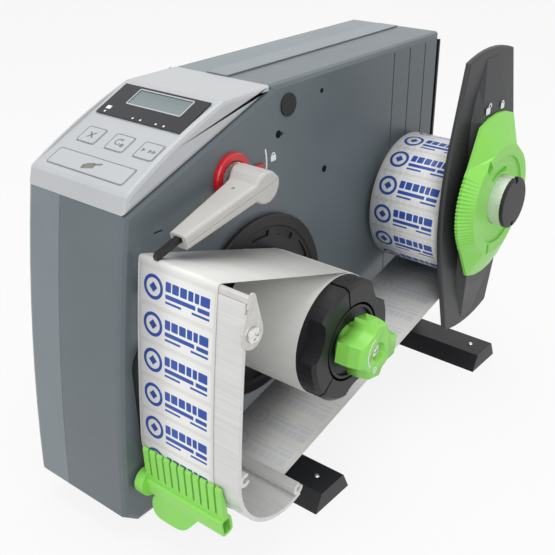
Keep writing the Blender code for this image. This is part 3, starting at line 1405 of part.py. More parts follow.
def make_knob():
    """The green knob that tightens and releases the drum, with a recess for its screw."""
    neck = circle(REWIND, KNOB_NECK_RADIUS, MEDIUM)
    rings = [
        ring(knob_outline(1.0), KNOB_START),
        ring(knob_outline(1.0), KNOB_END - KNOB_BEVEL),
        ring(knob_outline(KNOB_BEVEL_SHARE), KNOB_END - KNOB_FACE_EDGE),
        ring(knob_outline(KNOB_FACE_SHARE), KNOB_END),
    ]
    knob = piece("drum_knob", solid(rings), GREEN, REWIND_ORIGIN)
    join(knob, "neck", prism(neck, HUB_END + GAP, KNOB_START + KNOB_FACE_EDGE))
    seat = KNOB_END - KNOB_RECESS_DEPTH
    cut(knob, "recess", prism(circle(REWIND, KNOB_RECESS_RADIUS, COARSE), seat, KNOB_END + OVERRUN))
    bore = circle(REWIND, REWIND_SHAFT_RADIUS + GAP, COARSE)
    cut(knob, "bore", prism(bore, HUB_END - OVERRUN, seat + OVERRUN))


def make_knob_screw():
    """The socket screw in the knob's recess."""
    seat = KNOB_END - KNOB_RECESS_DEPTH - GAP
    profile = [(seat, KNOB_SCREW_RADIUS), (seat + KNOB_SCREW_HEIGHT, KNOB_SCREW_RADIUS)]
    screw = piece("knob_screw", solid(turned(REWIND, profile, COARSE)), STEEL, REWIND_ORIGIN)
    socket = circle(REWIND, KNOB_SCREW_RADIUS / 2, 6)
    cut(screw, "socket", prism(socket, seat + KNOB_SCREW_HEIGHT / 2, seat + KNOB_SCREW_HEIGHT + OVERRUN))


def make_wrap():
    """The liner wound on the drum."""
    inner = DRUM_RADIUS + GAP
    left = WEB_LEFT
    right = WEB_LEFT + WEB_WIDTH
    profile = [(left, inner), (left, wrap_radius()), (right, wrap_radius()), (right, inner)]
    piece("liner_wrap", bored(turned(REWIND, profile, FINE)), PAPER, REWIND_ORIGIN)


# Unwinder
UNWIND = (UNWIND_Y, UNWIND_Z)
UNWIND_ORIGIN = (0.0, UNWIND_Y, UNWIND_Z)


def make_unwind_shaft():
    """The aluminium tube with its keyway, its flange at the wall and its black end cap."""
    bore = SHAFT_RADIUS - SHAFT_WALL
    flange_end = GAP + BASE_FLANGE_THICKNESS
    profile = [
        (GAP, bore), (GAP, BASE_FLANGE_RADIUS), (flange_end, BASE_FLANGE_RADIUS),
        (flange_end, SHAFT_RADIUS), (SHAFT_END, SHAFT_RADIUS), (SHAFT_END, bore),
    ]
    shaft = piece("unwind_shaft", bored(turned(UNWIND, profile, MEDIUM)), ALUMINIUM)
    top = UNWIND_Z + SHAFT_RADIUS
    keyway = box(
        (flange_end + OVERRUN, UNWIND_Y - KEYWAY_WIDTH / 2, top - KEYWAY_DEPTH),
        (SHAFT_END + OVERRUN, UNWIND_Y + KEYWAY_WIDTH / 2, top + OVERRUN),
    )
    cut(shaft, "keyway", keyway)
    start = SHAFT_END + GAP
    end = start + CAP_THICKNESS
    plug = bore - GAP
    edge = CAP_THICKNESS / 4
    cap_profile = [
        (SHAFT_END - CAP_PLUG_DEPTH, plug), (start, plug), (start, CAP_RADIUS),
        (end - edge, CAP_RADIUS), (end, CAP_RADIUS - edge),
    ]
    cap = piece("shaft_cap", solid(turned(UNWIND, cap_profile, MEDIUM)), BLACK)
    notches = []
    for side in (-1, 1):
        middle = (UNWIND_Y, UNWIND_Z + side * (CAP_RADIUS - CAP_NOTCH_DEPTH / 2))
        notch = rectangle(middle, CAP_NOTCH_WIDTH, CAP_NOTCH_DEPTH + edge)
        notches.append(prism(notch, start - GAP / 2, end + OVERRUN))
    cut(cap, "notches", *notches)


def make_roll():
    """The cardboard core and the labels wound on it, hanging on the shaft."""
    centre = (UNWIND_Y, roll_height())
    origin = (0.0, *centre)
    left = WEB_LEFT
    right = WEB_LEFT + WEB_WIDTH
    outer = CORE_BORE_RADIUS + CORE_WALL
    core = [(left, CORE_BORE_RADIUS), (left, outer), (right, outer), (right, CORE_BORE_RADIUS)]
    piece("roll_core", bored(turned(centre, core, FINE)), CARDBOARD, origin)
    labels = [(left, outer + GAP), (left, ROLL_RADIUS), (right, ROLL_RADIUS), (right, outer + GAP)]
    piece("label_roll", bored(turned(centre, labels, FINE)), PAPER, origin)


def guide_outline():
    """A tall blade: arcs about the shaft at its ends and sides that widen to the middle."""
    lean = math.degrees(math.asin(GUIDE_END_HALF_WIDTH / GUIDE_REACH))
    top = arc(UNWIND, GUIDE_REACH, 90.0 - lean, 90.0 + lean, ARC_STEPS)
    bottom = arc(UNWIND, GUIDE_REACH, 270.0 - lean, 270.0 + lean, ARC_STEPS)
    front = side_of_guide(top[-1], (UNWIND_Y - GUIDE_HALF_WIDTH, UNWIND_Z), bottom[0])
    rear = side_of_guide(bottom[-1], (UNWIND_Y + GUIDE_HALF_WIDTH, UNWIND_Z), top[0])
    return top + front + bottom + rear


def side_of_guide(start, corner, end):
    """The long way round a corner of the blade, between its two ends."""
    first = Vector(corner) + (Vector(start) - Vector(corner)).normalized() * GUIDE_SIDE_ROUND
    last = Vector(corner) + (Vector(end) - Vector(corner)).normalized() * GUIDE_SIDE_ROUND
    points = []
    steps = 2 * ARC_STEPS
    for step in range(steps + 1):
        share = step / steps
        point = first * (1 - share) ** 2 + Vector(corner) * 2 * share * (1 - share) + last * share ** 2
        points.append((point.x, point.y))
    return points


def spine_section(rise, share, inside):
    """One cross section of the spine: a trapezium across the blade, at a height off the shaft."""
    foot = GUIDE_SPINE_HALF_WIDTH * (GUIDE_SPINE_END_SHARE + (1 - GUIDE_SPINE_END_SHARE) * share)
    crest = foot - GUIDE_SPINE_TAPER
    skin = GUIDE_START + GUIDE_SHEET + GUIDE_SPINE_HEIGHT * share + GAP
    z = UNWIND_Z + rise
    corners = ((inside, -foot), (inside, foot), (skin, crest), (skin, -crest))
    return [Vector((x, UNWIND_Y + y, z)) for x, y in corners]


def make_guide():
    """The outer guide: a black blade with a raised spine that sinks away to its ends."""
    start = GUIDE_START
    rings = softened(guide_outline(), start, start + GUIDE_SHEET, GUIDE_SHEET * GUIDE_EDGE_SHARE)
    guide = piece("outer_guide", solid(rings), BLACK, UNWIND_ORIGIN)
    inside = start + GUIDE_SHEET / 2
    spine = []
    stations = GUIDE_SPINE_SHARES + ((-GUIDE_SPINE_LEVEL / GUIDE_SPINE_END, 1.0),)
    for rise, share in stations + tuple((-rise, share) for rise, share in stations[::-1]):
        spine.append(spine_section(rise * GUIDE_SPINE_END, share, inside))
    join(guide, "spine", spine)
    bore = circle(UNWIND, SHAFT_RADIUS + GUIDE_BORE_CLEARANCE, MEDIUM)
    face = start + GUIDE_SHEET + GUIDE_SPINE_HEIGHT + GAP
    cut(guide, "bore", prism(bore, start - OVERRUN, face + OVERRUN))


def lock_outline(radius, pointed, ridge_depth):
    """A round ring with knurled flanks and, where pointed, a blunt end above and below."""
    points = []
    for middle, reach in ((90.0, LOCK_TOP_REACH), (270.0, LOCK_BOTTOM_REACH)):
        lean = math.degrees(math.asin(LOCK_POINTER_HALF_WIDTH / reach))
        points += arc(UNWIND, reach if pointed else radius, middle - lean, middle + lean, 4)
        first = middle + LOCK_FLANK_ANGLE
        last = middle + 180.0 - LOCK_FLANK_ANGLE
        steps = 2 * LOCK_RIDGES + 8
        for step in range(steps + 1):
            angle = first + (last - first) * step / steps
            ridged = step % 2 and abs(angle - middle - 90.0) < LOCK_KNURL_HALF_SPREAD
            depth = ridge_depth if ridged else 0.0
            points += arc(UNWIND, radius - depth, angle, angle, 1)[:1]
    return points


def lock_place(y, z):
    """A place on the lock ring's face."""
    return (UNWIND_Y + y, UNWIND_Z + z)


def make_lock():
    """The green ring that clamps the guide on the shaft."""
    start = GUIDE_START + GUIDE_SHEET + GUIDE_SPINE_HEIGHT + 2 * GAP
    end = start + LOCK_THICKNESS
    base = lock_outline(LOCK_RADIUS, True, LOCK_RIDGE_DEPTH)
    face = lock_outline(LOCK_FACE_RADIUS, False, 0.0)
    rings = [ring(base, start), ring(base, start + LOCK_WALL), ring(face, end)]
    lock = piece("guide_lock", solid(rings), GREEN, UNWIND_ORIGIN)
    cut(lock, "dish", prism(circle(UNWIND, LOCK_DISH_RADIUS, MEDIUM), end - LOCK_DISH_DEPTH, end + OVERRUN))
    bore = circle(UNWIND, SHAFT_RADIUS + GUIDE_BORE_CLEARANCE, MEDIUM)
    cut(lock, "bore", prism(bore, start - OVERRUN, end + OVERRUN))
    y, z = LOCK_DIAMOND_PLACE
    wide = LOCK_DIAMOND_HALF_WIDTH
    tall = LOCK_DIAMOND_HALF_HEIGHT
    diamond = [lock_place(*spot) for spot in ((y - wide, z), (y, z - tall), (y + wide, z), (y, z + tall))]
    slot_y, slot_z = LOCK_SLOT_PLACE
    wide = LOCK_SLOT_HALF_WIDTH
    tall = LOCK_SLOT_HALF_HEIGHT
    corners = ((-1, -1), (1, -1), (1, 1), (-1, 1))
    slot = [lock_place(slot_y + side * wide, slot_z + end_side * tall) for side, end_side in corners]
    crescent = arc(UNWIND, LOCK_CRESCENT_OUTER, LOCK_CRESCENT_START, LOCK_CRESCENT_END, ARC_STEPS)
    crescent += arc(UNWIND, LOCK_CRESCENT_INNER, LOCK_CRESCENT_START, LOCK_CRESCENT_END, ARC_STEPS)[::-1]
    floor = end - LOCK_POCKET_DEPTH
    pockets = [prism(outline, floor, end + OVERRUN) for outline in (diamond, slot, crescent)]
    cut(lock, "pockets", *pockets)


# Drive inside the housing
def gear_outline(centre, teeth, half_turn):
    """A spur gear with straight flanked teeth of one module."""
    pitch_radius = GEAR_MODULE * teeth / 2
    tip = pitch_radius + GEAR_MODULE * TOOTH_TIP_SHARE
    foot = pitch_radius - GEAR_MODULE * TOOTH_FOOT_SHARE
    step = 360.0 / teeth
    flanks = (
        (-TOOTH_HALF_FOOT_SHARE, foot), (-TOOTH_HALF_TIP_SHARE, tip),
        (TOOTH_HALF_TIP_SHARE, tip), (TOOTH_HALF_FOOT_SHARE, foot),
    )
    points = []
    for tooth in range(teeth):
        middle = step * (tooth + (0.5 if half_turn else 0.0))
        for share, radius in flanks:
            angle = math.radians(middle + step * share)
            points.append((centre[0] + radius * math.cos(angle), centre[1] + radius * math.sin(angle)))
    return points


def pinion_centre():
    """The motor's axis, behind the rewinder's."""
    distance = GEAR_MODULE * (GEAR_TEETH + PINION_TEETH) / 2 + GEAR_BACKLASH
    return (REWIND_Y + distance, REWIND_Z)


def make_chassis():
    """The steel plate inside the side wall that the drive is bolted to."""
    right = -SHELL - GAP
    left = right - CHASSIS_THICKNESS
    sheet = box((left, CHASSIS_FRONT, CHASSIS_LOW), (right, CHASSIS_REAR, CHASSIS_HIGH))
    chassis = piece("chassis_plate", solid(sheet), STEEL)
    bore = circle(REWIND, REWIND_SHAFT_RADIUS + RUN, COARSE)
    cut(chassis, "shaft_bore", prism(bore, left - OVERRUN, right + OVERRUN))


def make_gears():
    """The gear on the rewinder's shaft and the motor's pinion."""
    start = -GEAR_START - GEAR_THICKNESS
    end = -GEAR_START
    toothed = gear_outline(REWIND, GEAR_TEETH, False)
    gear = piece("drive_gear", solid(prism(toothed, start, end)), BLACK, REWIND_ORIGIN)
    bore = circle(REWIND, REWIND_SHAFT_RADIUS + GAP, COARSE)
    cut(gear, "bore", prism(bore, start - OVERRUN, end + OVERRUN))
    centre = pinion_centre()
    outline = gear_outline(centre, PINION_TEETH, PINION_TEETH % 2 == 0)
    pinion = piece("motor_pinion", solid(prism(outline, start, end)), STEEL, (0.0, *centre))
    bore = circle(centre, PINION_SHAFT_RADIUS + GAP, COARSE)
    cut(pinion, "bore", prism(bore, start - OVERRUN, end + OVERRUN))


def make_motor():
    """The gear motor: round motor, square gearbox, drive shaft and two posts to the chassis."""
    centre = pinion_centre()
    gearbox_end = -GEAR_START - GEAR_THICKNESS - RUN
    gearbox_start = gearbox_end - GEARBOX_LENGTH
    square = rounded(rectangle(centre, 2 * GEARBOX_HALF_WIDTH, 2 * GEARBOX_HALF_WIDTH), MOTOR_POST_RADIUS)
    motor = piece("gear_motor", solid(prism(square, gearbox_start, gearbox_end)), STEEL)
    inside = gearbox_start + MOTOR_POST_RADIUS
    join(motor, "can", prism(circle(centre, MOTOR_RADIUS, MEDIUM), -MOTOR_END, inside))
    shaft_end = -GEAR_START + GAP
    shaft = circle(centre, PINION_SHAFT_RADIUS, COARSE)
    join(motor, "shaft", prism(shaft, gearbox_end - 3 * GAP, shaft_end))
    reach = GEARBOX_HALF_WIDTH - MOTOR_POST_RADIUS
    chassis_face = -SHELL - 2 * GAP - CHASSIS_THICKNESS
    for label, side in (("upper_post", 1), ("lower_post", -1)):
        place = (centre[0] + reach, centre[1] + side * reach)
        join(motor, label, prism(circle(place, MOTOR_POST_RADIUS, COARSE), inside, chassis_face))


def make_board():
    """The circuit board on four posts, with its larger chips."""
    chassis_face = -SHELL - 2 * GAP - CHASSIS_THICKNESS
    right = chassis_face - BOARD_STAND
    left = right - BOARD_THICKNESS
    rear = BOARD_FRONT + BOARD_LENGTH
    high = BOARD_LOW + BOARD_HEIGHT
    sheet = box((left, BOARD_FRONT, BOARD_LOW), (right, rear, high))
    board = piece("circuit_board", solid(sheet), BOARD_PAINT)
    edge = 2 * BOARD_POST_RADIUS
    corners = [(y, z) for y in (BOARD_FRONT + edge, rear - edge) for z in (BOARD_LOW + edge, high - edge)]
    for index, place in enumerate(corners):
        post = circle(place, BOARD_POST_RADIUS, COARSE)
        join(board, "post_%d" % index, prism(post, left + BOARD_THICKNESS / 2, chassis_face))
    chips = []
    for along, up, size in BOARD_CHIP_SHARES:
        y = BOARD_FRONT + BOARD_LENGTH * along
        z = BOARD_LOW + BOARD_HEIGHT * up
        side = BOARD_HEIGHT * size
        foot = left + BOARD_THICKNESS / 2
        chips.append(box((left - BOARD_CHIP_HEIGHT, y, z), (foot, y + side, z + side)))
    join(board, "chips", *chips)


def place_frame():
    """Put the frame's zero under the middle of the whole, at the desk."""
    front = min(y for y, z in housing_outline())
    rear = max(y for y, z in guide_outline())
    right = SHAFT_END + GAP + CAP_THICKNESS
    root.location = ((HOUSING_WIDTH - right) / 2, -(front + rear) / 2, 0.0)


make_housing()
make_left_cover()
make_top_strip()
make_rear_panel()
make_panel()
make_keys()
make_window()
make_wall_plug()
make_feet()
make_plate()
make_plate_mount()
make_peel_edge()
make_edge_screw()
make_lever()
make_lever_pivot()
make_lever_ring()
make_web()
make_comb()
make_comb_rod()
make_flange()
make_drum()
make_hub()
make_rewind_shaft()
make_knob()
make_knob_screw()
make_wrap()
make_unwind_shaft()
make_roll()
make_guide()
make_lock()
make_chassis()
make_gears()
make_motor()
make_board()
place_frame()
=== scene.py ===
import json
import math

import bmesh
import bpy
from mathutils import Matrix, Vector

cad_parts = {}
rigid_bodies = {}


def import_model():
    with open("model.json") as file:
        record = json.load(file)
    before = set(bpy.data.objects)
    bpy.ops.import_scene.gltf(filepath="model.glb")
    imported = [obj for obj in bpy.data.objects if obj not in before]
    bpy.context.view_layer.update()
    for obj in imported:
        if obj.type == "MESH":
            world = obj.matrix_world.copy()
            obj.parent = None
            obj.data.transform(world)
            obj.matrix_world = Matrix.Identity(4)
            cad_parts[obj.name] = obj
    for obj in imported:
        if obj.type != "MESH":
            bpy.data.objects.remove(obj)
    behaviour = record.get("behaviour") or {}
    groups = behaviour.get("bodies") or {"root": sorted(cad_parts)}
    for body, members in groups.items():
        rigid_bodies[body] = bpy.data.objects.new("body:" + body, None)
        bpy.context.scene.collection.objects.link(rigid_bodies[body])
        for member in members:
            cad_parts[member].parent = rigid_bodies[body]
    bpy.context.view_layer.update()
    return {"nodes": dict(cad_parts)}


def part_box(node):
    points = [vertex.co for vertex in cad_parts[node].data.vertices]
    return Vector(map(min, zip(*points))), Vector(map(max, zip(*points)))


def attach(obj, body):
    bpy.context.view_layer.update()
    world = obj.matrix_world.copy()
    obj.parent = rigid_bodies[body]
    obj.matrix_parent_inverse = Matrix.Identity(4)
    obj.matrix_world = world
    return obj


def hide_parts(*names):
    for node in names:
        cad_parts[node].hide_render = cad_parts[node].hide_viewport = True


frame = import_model()
NODES = frame["nodes"]
MM = 0.001

# The machine's layout: X from the side wall, Y from the foot of the front, Z from the desk.
# Then the axes of the rewinder, the label roll and the lever, the labels and a label's edge.
LAYOUT = Vector((-0.00845, -0.208275, 0.0))
REWIND = Vector((0.0, 0.1507, 0.1388))
UNWIND = Vector((0.0, 0.3534, 0.1887))
LEVER = Vector((0.0, 0.1240, 0.2523))
LABEL_WIDTH = 0.0672
LABEL_PITCH = 0.0262
LABEL_FIRST = 0.2250


# Node trees
class Net:
    """Short calls for building one node tree."""

    def __init__(self, tree):
        self.tree = tree

    def node(self, kind, **settings):
        """A new node with these settings."""
        item = self.tree.nodes.new(kind)
        for key, value in settings.items():
            setattr(item, key, value)
        return item

    def feed(self, socket, value):
        """Links a socket to another, or gives it a value."""
        if isinstance(value, bpy.types.NodeSocket):
            self.tree.links.new(value, socket)
        elif value is not None:
            socket.default_value = value

    def math(self, operation, *values):
        """The result of one operation."""
        item = self.node("ShaderNodeMath", operation=operation)
        for socket, value in zip(item.inputs, values):
            self.feed(socket, value)
        return item.outputs[0]

    def reach(self, one, two):
        """The length of a way of two parts."""
        squares = [self.math("MULTIPLY", value, value) for value in (one, two)]
        return self.math("SQRT", self.math("ADD", *squares))

    def mix(self, factor, one, two):
        """One colour turning into another."""
        item = self.node("ShaderNodeMix", data_type="RGBA")
        for index, value in ((0, factor), (6, one), (7, two)):
            if isinstance(value, tuple):
                value = (*value, 1.0)[:4]
            self.feed(item.inputs[index], value)
        return item.outputs[2]

    def span(self, value, low, high, to_low=0.0, to_high=1.0):
        """A value moved from one range to another."""
        item = self.node("ShaderNodeMapRange")
        for index, number in enumerate((value, low, high, to_low, to_high)):
            self.feed(item.inputs[index], number)
        return item.outputs[0]

    def split(self, vector):
        """The three parts of a vector."""
        item = self.node("ShaderNodeSeparateXYZ")
        self.feed(item.inputs[0], vector)
        return item.outputs

    def spread(self, noise, to_low=0.0, to_high=1.0):
        """The middle part of a noise, brought out to a range."""
        return self.span(noise, 0.3, 0.7, to_low, to_high)

    def noise(self, vector, scale, detail=3.0, roughness=0.55):
        """Plain noise from 0 to 1."""
        item = self.node("ShaderNodeTexNoise")
        self.feed(item.inputs["Vector"], vector)
        item.inputs["Scale"].default_value = scale
        item.inputs["Detail"].default_value = detail
        item.inputs["Roughness"].default_value = roughness
        return item.outputs["Fac"]

    def stretched(self, vector, scale):
        """Places scaled apart along each way."""
        item = self.node("ShaderNodeMapping")
        self.feed(item.inputs["Vector"], vector)
        item.inputs["Scale"].default_value = scale
        return item.outputs["Vector"]

    def use(self, group, **values):
        """The outputs of a node group fed with these values."""
        item = self.node("ShaderNodeGroup", node_tree=group)
        for key, value in values.items():
            self.feed(item.inputs[key.replace("_", " ")], value)
        return item.outputs

    def bump(self, height, strength, distance):
        """The normal of a relief that stands distance high."""
        item = self.node("ShaderNodeBump")
        self.feed(item.inputs["Height"], height)
        item.inputs["Strength"].default_value = strength
        item.inputs["Distance"].default_value = distance
        return item.outputs["Normal"]


def group(name, inputs, outputs):
    """A node group with float inputs, or a vector where the name says so."""
    tree = bpy.data.node_groups.new(name, "ShaderNodeTree")
    for label in inputs:
        kind = "NodeSocketVector" if label == "Vector" else "NodeSocketFloat"
        tree.interface.new_socket(name=label, in_out="INPUT", socket_type=kind)
    for label in outputs:
        tree.interface.new_socket(name=label, in_out="OUTPUT", socket_type="NodeSocketFloat")
    net = Net(tree)
    return net, net.node("NodeGroupInput").outputs, net.node("NodeGroupOutput").inputs


def make_moulded():
    """Fine grain and broad mottling of moulded plastic."""
    net, given, put = group("moulded", ("Vector", "Grain", "Mottle"), ("Grain", "Mottle"))
    fine = net.node("ShaderNodeTexNoise")
    net.feed(fine.inputs["Vector"], given["Vector"])
    net.feed(fine.inputs["Scale"], given["Grain"])
    fine.inputs["Detail"].default_value = 2.0
    broad = net.node("ShaderNodeTexNoise")
    net.feed(broad.inputs["Vector"], given["Vector"])
    net.feed(broad.inputs["Scale"], given["Mottle"])
    broad.inputs["Detail"].default_value = 4.0
    net.feed(put["Grain"], fine.outputs["Fac"])
    net.feed(put["Mottle"], net.spread(broad.outputs["Fac"]))
    return net.tree


def make_block():
    """How far a place is outside a rounded rectangle, negative inside."""
    names = ("Across", "Along", "X", "Y", "Half Width", "Half Height", "Radius")
    net, given, put = group("rounded_block", names, ("Distance",))
    far = []
    for place, centre, half in (("Across", "X", "Half Width"), ("Along", "Y", "Half Height")):
        offset = net.math("ABSOLUTE", net.math("SUBTRACT", given[place], given[centre]))
        far.append(net.math("ADD", net.math("SUBTRACT", offset, given[half]), given["Radius"]))
    reach = net.reach(*[net.math("MAXIMUM", value, 0.0) for value in far])
    inside = net.math("MINIMUM", net.math("MAXIMUM", *far), 0.0)
    net.feed(put["Distance"], net.math("SUBTRACT", net.math("ADD", reach, inside), given["Radius"]))
    return net.tree


# Print on a label in mm from its middle: x, y, half width, half height, corner radius
PRINT_BLOCKS = (
    (-7.2, 3.6, 2.4, 3.3, 0.7), (-0.9, 3.6, 2.9, 3.3, 0.7), (6.0, 3.6, 2.9, 3.3, 0.7),
    (12.2, 3.6, 2.2, 3.3, 0.7), (17.4, 3.6, 1.9, 3.3, 0.7), (24.3, 3.6, 3.9, 3.3, 0.7),
    (3.4, -3.2, 13.0, 1.5, 0.6), (23.2, -3.2, 5.0, 1.5, 0.6),
    (-2.6, -7.3, 7.0, 0.8, 0.4), (20.8, -7.3, 7.4, 0.8, 0.4),
)
# The emblem beside it, in mm: x, y, outer and inner radius of its ring, half size of its core
EMBLEM = (-20.4, 0.0, 8.6, 6.2, 3.6)
# A label's own face, as a block like the ones above
LABEL_FACE = (0.0, 0.0, 31.7, 11.75, 1.9)
CUT_SOFTNESS = 0.06
PRINT_SOFTNESS = 0.07


def make_labels(block):
    """Labels along a web: the label's own face, a painted shade line along its cut edge, and a plain
    print on it.
    """
    net, given, put = group("label_row", ("Across", "Along"), ("Label", "Edge", "Print"))
    across = net.math("MULTIPLY", net.math("SUBTRACT", given["Across"], LABEL_WIDTH / 2), 1 / MM)
    wrapped = net.math("WRAP", given["Along"], LABEL_PITCH, 0.0)
    along = net.math("MULTIPLY", net.math("SUBTRACT", wrapped, LABEL_PITCH / 2), 1 / MM)

    def distance(x, y, wide, tall, radius):
        """How far a place is outside one block."""
        values = dict(X=x, Y=y, Half_Width=wide, Half_Height=tall, Radius=radius)
        return net.use(block, Across=across, Along=along, **values)["Distance"]

    def smaller(items):
        """The smallest of several values."""
        result = items[0]
        for item in items[1:]:
            result = net.math("MINIMUM", result, item)
        return result

    face = distance(*LABEL_FACE)
    net.feed(put["Label"], net.span(face, CUT_SOFTNESS, -CUT_SOFTNESS))
    # A band along each label's cut edge: painted shade of the edge.
    net.feed(put["Edge"], net.span(net.math("ABSOLUTE", face), 0.22, 0.05))
    x, y, outer, inner, core = EMBLEM
    dx = net.math("SUBTRACT", across, x)
    dy = net.math("SUBTRACT", along, y)
    off_ring = net.math("ABSOLUTE", net.math("SUBTRACT", net.reach(dx, dy), (outer + inner) / 2))
    band = net.math("SUBTRACT", off_ring, (outer - inner) / 2)
    spread = net.math("ADD", net.math("ABSOLUTE", dx), net.math("ABSOLUTE", dy))
    lozenge = net.math("SUBTRACT", spread, core)
    blocks = [distance(*numbers) for numbers in PRINT_BLOCKS]
    net.feed(put["Print"], net.span(smaller([band, lozenge] + blocks), PRINT_SOFTNESS, -PRINT_SOFTNESS))
    return net.tree


MOULDED = make_moulded()
BLOCK = make_block()
LABELS = make_labels(BLOCK)


def start_material(name):
    """A material with its net, its shader and the place on the object."""
    item = bpy.data.materials.new(name)
    item.use_nodes = True
    net = Net(item.node_tree)
    place = net.node("ShaderNodeTexCoord").outputs["Object"]
    return item, net, item.node_tree.nodes["Principled BSDF"].inputs, place


def plastic(name, colour, rough, grain=(1800.0, 0.05), vary=0.06, gleam=0.5):
    """Moulded plastic: a colour that varies in broad patches, gloss and relief in a fine grain."""
    item, net, shader, place = start_material(name)
    out = net.use(MOULDED, Vector=place, Grain=grain[0], Mottle=28.0)
    dark = tuple(value * (1 - vary) for value in colour)
    pale = tuple(min(value * (1 + vary), 1.0) for value in colour)
    net.feed(shader["Base Color"], net.mix(out["Mottle"], dark, pale))
    patches = net.span(out["Mottle"], 0.0, 1.0, -0.03, 0.03)
    gloss = net.math("ADD", patches, net.spread(out["Grain"], -0.02, 0.02))
    net.feed(shader["Roughness"], net.math("ADD", gloss, rough))
    net.feed(shader["Normal"], net.bump(out["Grain"], grain[1], 0.0004))
    shader["Specular IOR Level"].default_value = gleam
    return item


def metal(name, colour, rough, stretch, metallic=1.0, depth=0.05):
    """Drawn or brushed metal: long fine lines across its stretch."""
    item, net, shader, place = start_material(name)
    lines = net.noise(net.stretched(place, stretch), 1.0, 3.0, 0.65)
    patches = net.noise(place, 35.0, 3.0)
    dark = tuple(value * 0.86 for value in colour)
    net.feed(shader["Base Color"], net.mix(net.spread(lines), dark, colour))
    gloss = net.spread(patches, -0.05, 0.05)
    net.feed(shader["Roughness"], net.math("ADD", gloss, rough))
    net.feed(shader["Normal"], net.bump(lines, depth, 0.0003))
    shader["Metallic"].default_value = metallic
    return item


# How far round the turn of labels below lies, in pitches, and how much of its print shows through
TURN_BELOW_SHIFT = 0.52
TURN_BELOW_SHARE = 0.10


def label_paper(name, ghost=False, turned=False):
    """Liner and labels: printed, a ghost seen through the liner, or with the turn below showing."""
    item, net, shader, place = start_material(name)
    parts = net.split(net.node("ShaderNodeUVMap", uv_map="path").outputs["UV"])
    rows = net.use(LABELS, Across=parts[0], Along=parts[1])
    fibre = net.noise(place, 900.0, 4.0, 0.6)
    cloud = net.noise(place, 22.0, 3.0)
    liner = net.mix(cloud, (0.74, 0.735, 0.71), (0.80, 0.795, 0.77))
    label = net.mix(cloud, (0.84, 0.84, 0.83), (0.89, 0.89, 0.88))
    ink = net.mix(fibre, (0.014, 0.062, 0.335), (0.026, 0.092, 0.43))
    colour = net.mix(rows["Label"], liner, label)
    if ghost:
        colour = net.mix(net.math("MULTIPLY", rows["Label"], 0.35), liner, (0.84, 0.84, 0.83))
        edge_shade_share, ink_share, lift = 0.10, 0.13, 0.15
    else:
        edge_shade_share, ink_share, lift = 0.16, 1.0, 0.6
    # Greys the paper along the cut edges: painted shade, fainter where seen through the liner.
    colour = net.mix(net.math("MULTIPLY", rows["Edge"], edge_shade_share), colour, (0.42, 0.42, 0.41))
    colour = net.mix(net.math("MULTIPLY", rows["Print"], ink_share), colour, ink)
    if turned:
        shifted = net.math("ADD", parts[1], LABEL_PITCH * TURN_BELOW_SHIFT)
        under = net.use(LABELS, Across=parts[0], Along=shifted)["Print"]
        clear = net.math("SUBTRACT", 1.0, rows["Print"])
        share = net.math("MULTIPLY", net.math("MULTIPLY", under, clear), TURN_BELOW_SHARE)
        colour = net.mix(share, colour, (0.20, 0.22, 0.30))
    net.feed(shader["Base Color"], colour)
    net.feed(shader["Roughness"], net.span(rows["Label"], 0.0, 1.0, 0.50, 0.42))
    step = net.math("MULTIPLY", rows["Label"], lift)
    relief = net.math("ADD", step, net.math("MULTIPLY", fibre, 0.1))
    net.feed(shader["Normal"], net.bump(relief, 0.5, 0.00012))
    return item


def liner_paper(name):
    """Plain glassine liner with soft streaks."""
    item, net, shader, place = start_material(name)
    fibre = net.noise(place, 900.0, 4.0, 0.6)
    streak = net.noise(net.stretched(place, (6.0, 60.0, 60.0)), 1.0, 3.0)
    tone = net.mix(net.spread(streak), (0.79, 0.785, 0.76), (0.84, 0.835, 0.81))
    net.feed(shader["Base Color"], tone)
    net.feed(shader["Roughness"], net.spread(fibre, 0.40, 0.50))
    net.feed(shader["Normal"], net.bump(fibre, 0.10, 0.0002))
    return item


# Plastics: colour, roughness, scale and strength of the grain, variation, gleam
HOUSING = plastic("housing_grey", (0.122, 0.147, 0.163), 0.36, (1500.0, 0.07), 0.04)
# The left cover: the housing plastic made lighter, painted top light for its strongly lit top face.
COVER_PAINTED_TOP_LIGHT = plastic("housing_grey_cover_painted_top_light", (0.190, 0.224, 0.246), 0.36, (1500.0, 0.07), 0.04)
PANEL = plastic("panel_light_grey", (0.505, 0.520, 0.535), 0.42, (1300.0, 0.10), 0.02)
KEY = plastic("key_light_grey", (0.500, 0.525, 0.550), 0.38, (1600.0, 0.05), 0.015)
LEVER_GREY = plastic("lever_warm_grey", (0.540, 0.530, 0.505), 0.45, (1300.0, 0.12), 0.03)
# The top strip: a grey made lighter than the housing plastic, painted top light for its top face.
STRIP_PAINTED_TOP_LIGHT = plastic("strip_pale_grey", (0.235, 0.270, 0.292), 0.38)
BLACK = plastic("black_plastic", (0.015, 0.015, 0.017), 0.42, (1500.0, 0.10), 0.10, 0.35)
GUIDE = plastic("guide_black", (0.036, 0.037, 0.040), 0.42, (1500.0, 0.12), 0.08, 0.40)
GREEN = plastic("green_plastic", (0.270, 0.720, 0.105), 0.34, (1500.0, 0.08), 0.03)
RED = plastic("red_plastic", (0.62, 0.012, 0.018), 0.22, (1500.0, 0.05), 0.05, 0.60)
WINDOW = plastic("window_dark", (0.026, 0.027, 0.031), 0.22, (1200.0, 0.02), 0.04, 0.28)
BOARD = plastic("board_green", (0.015, 0.13, 0.055), 0.35, (1500.0, 0.05), 0.12)
CARDBOARD = plastic("core_board", (0.40, 0.30, 0.20), 0.85, (700.0, 0.35), 0.10)
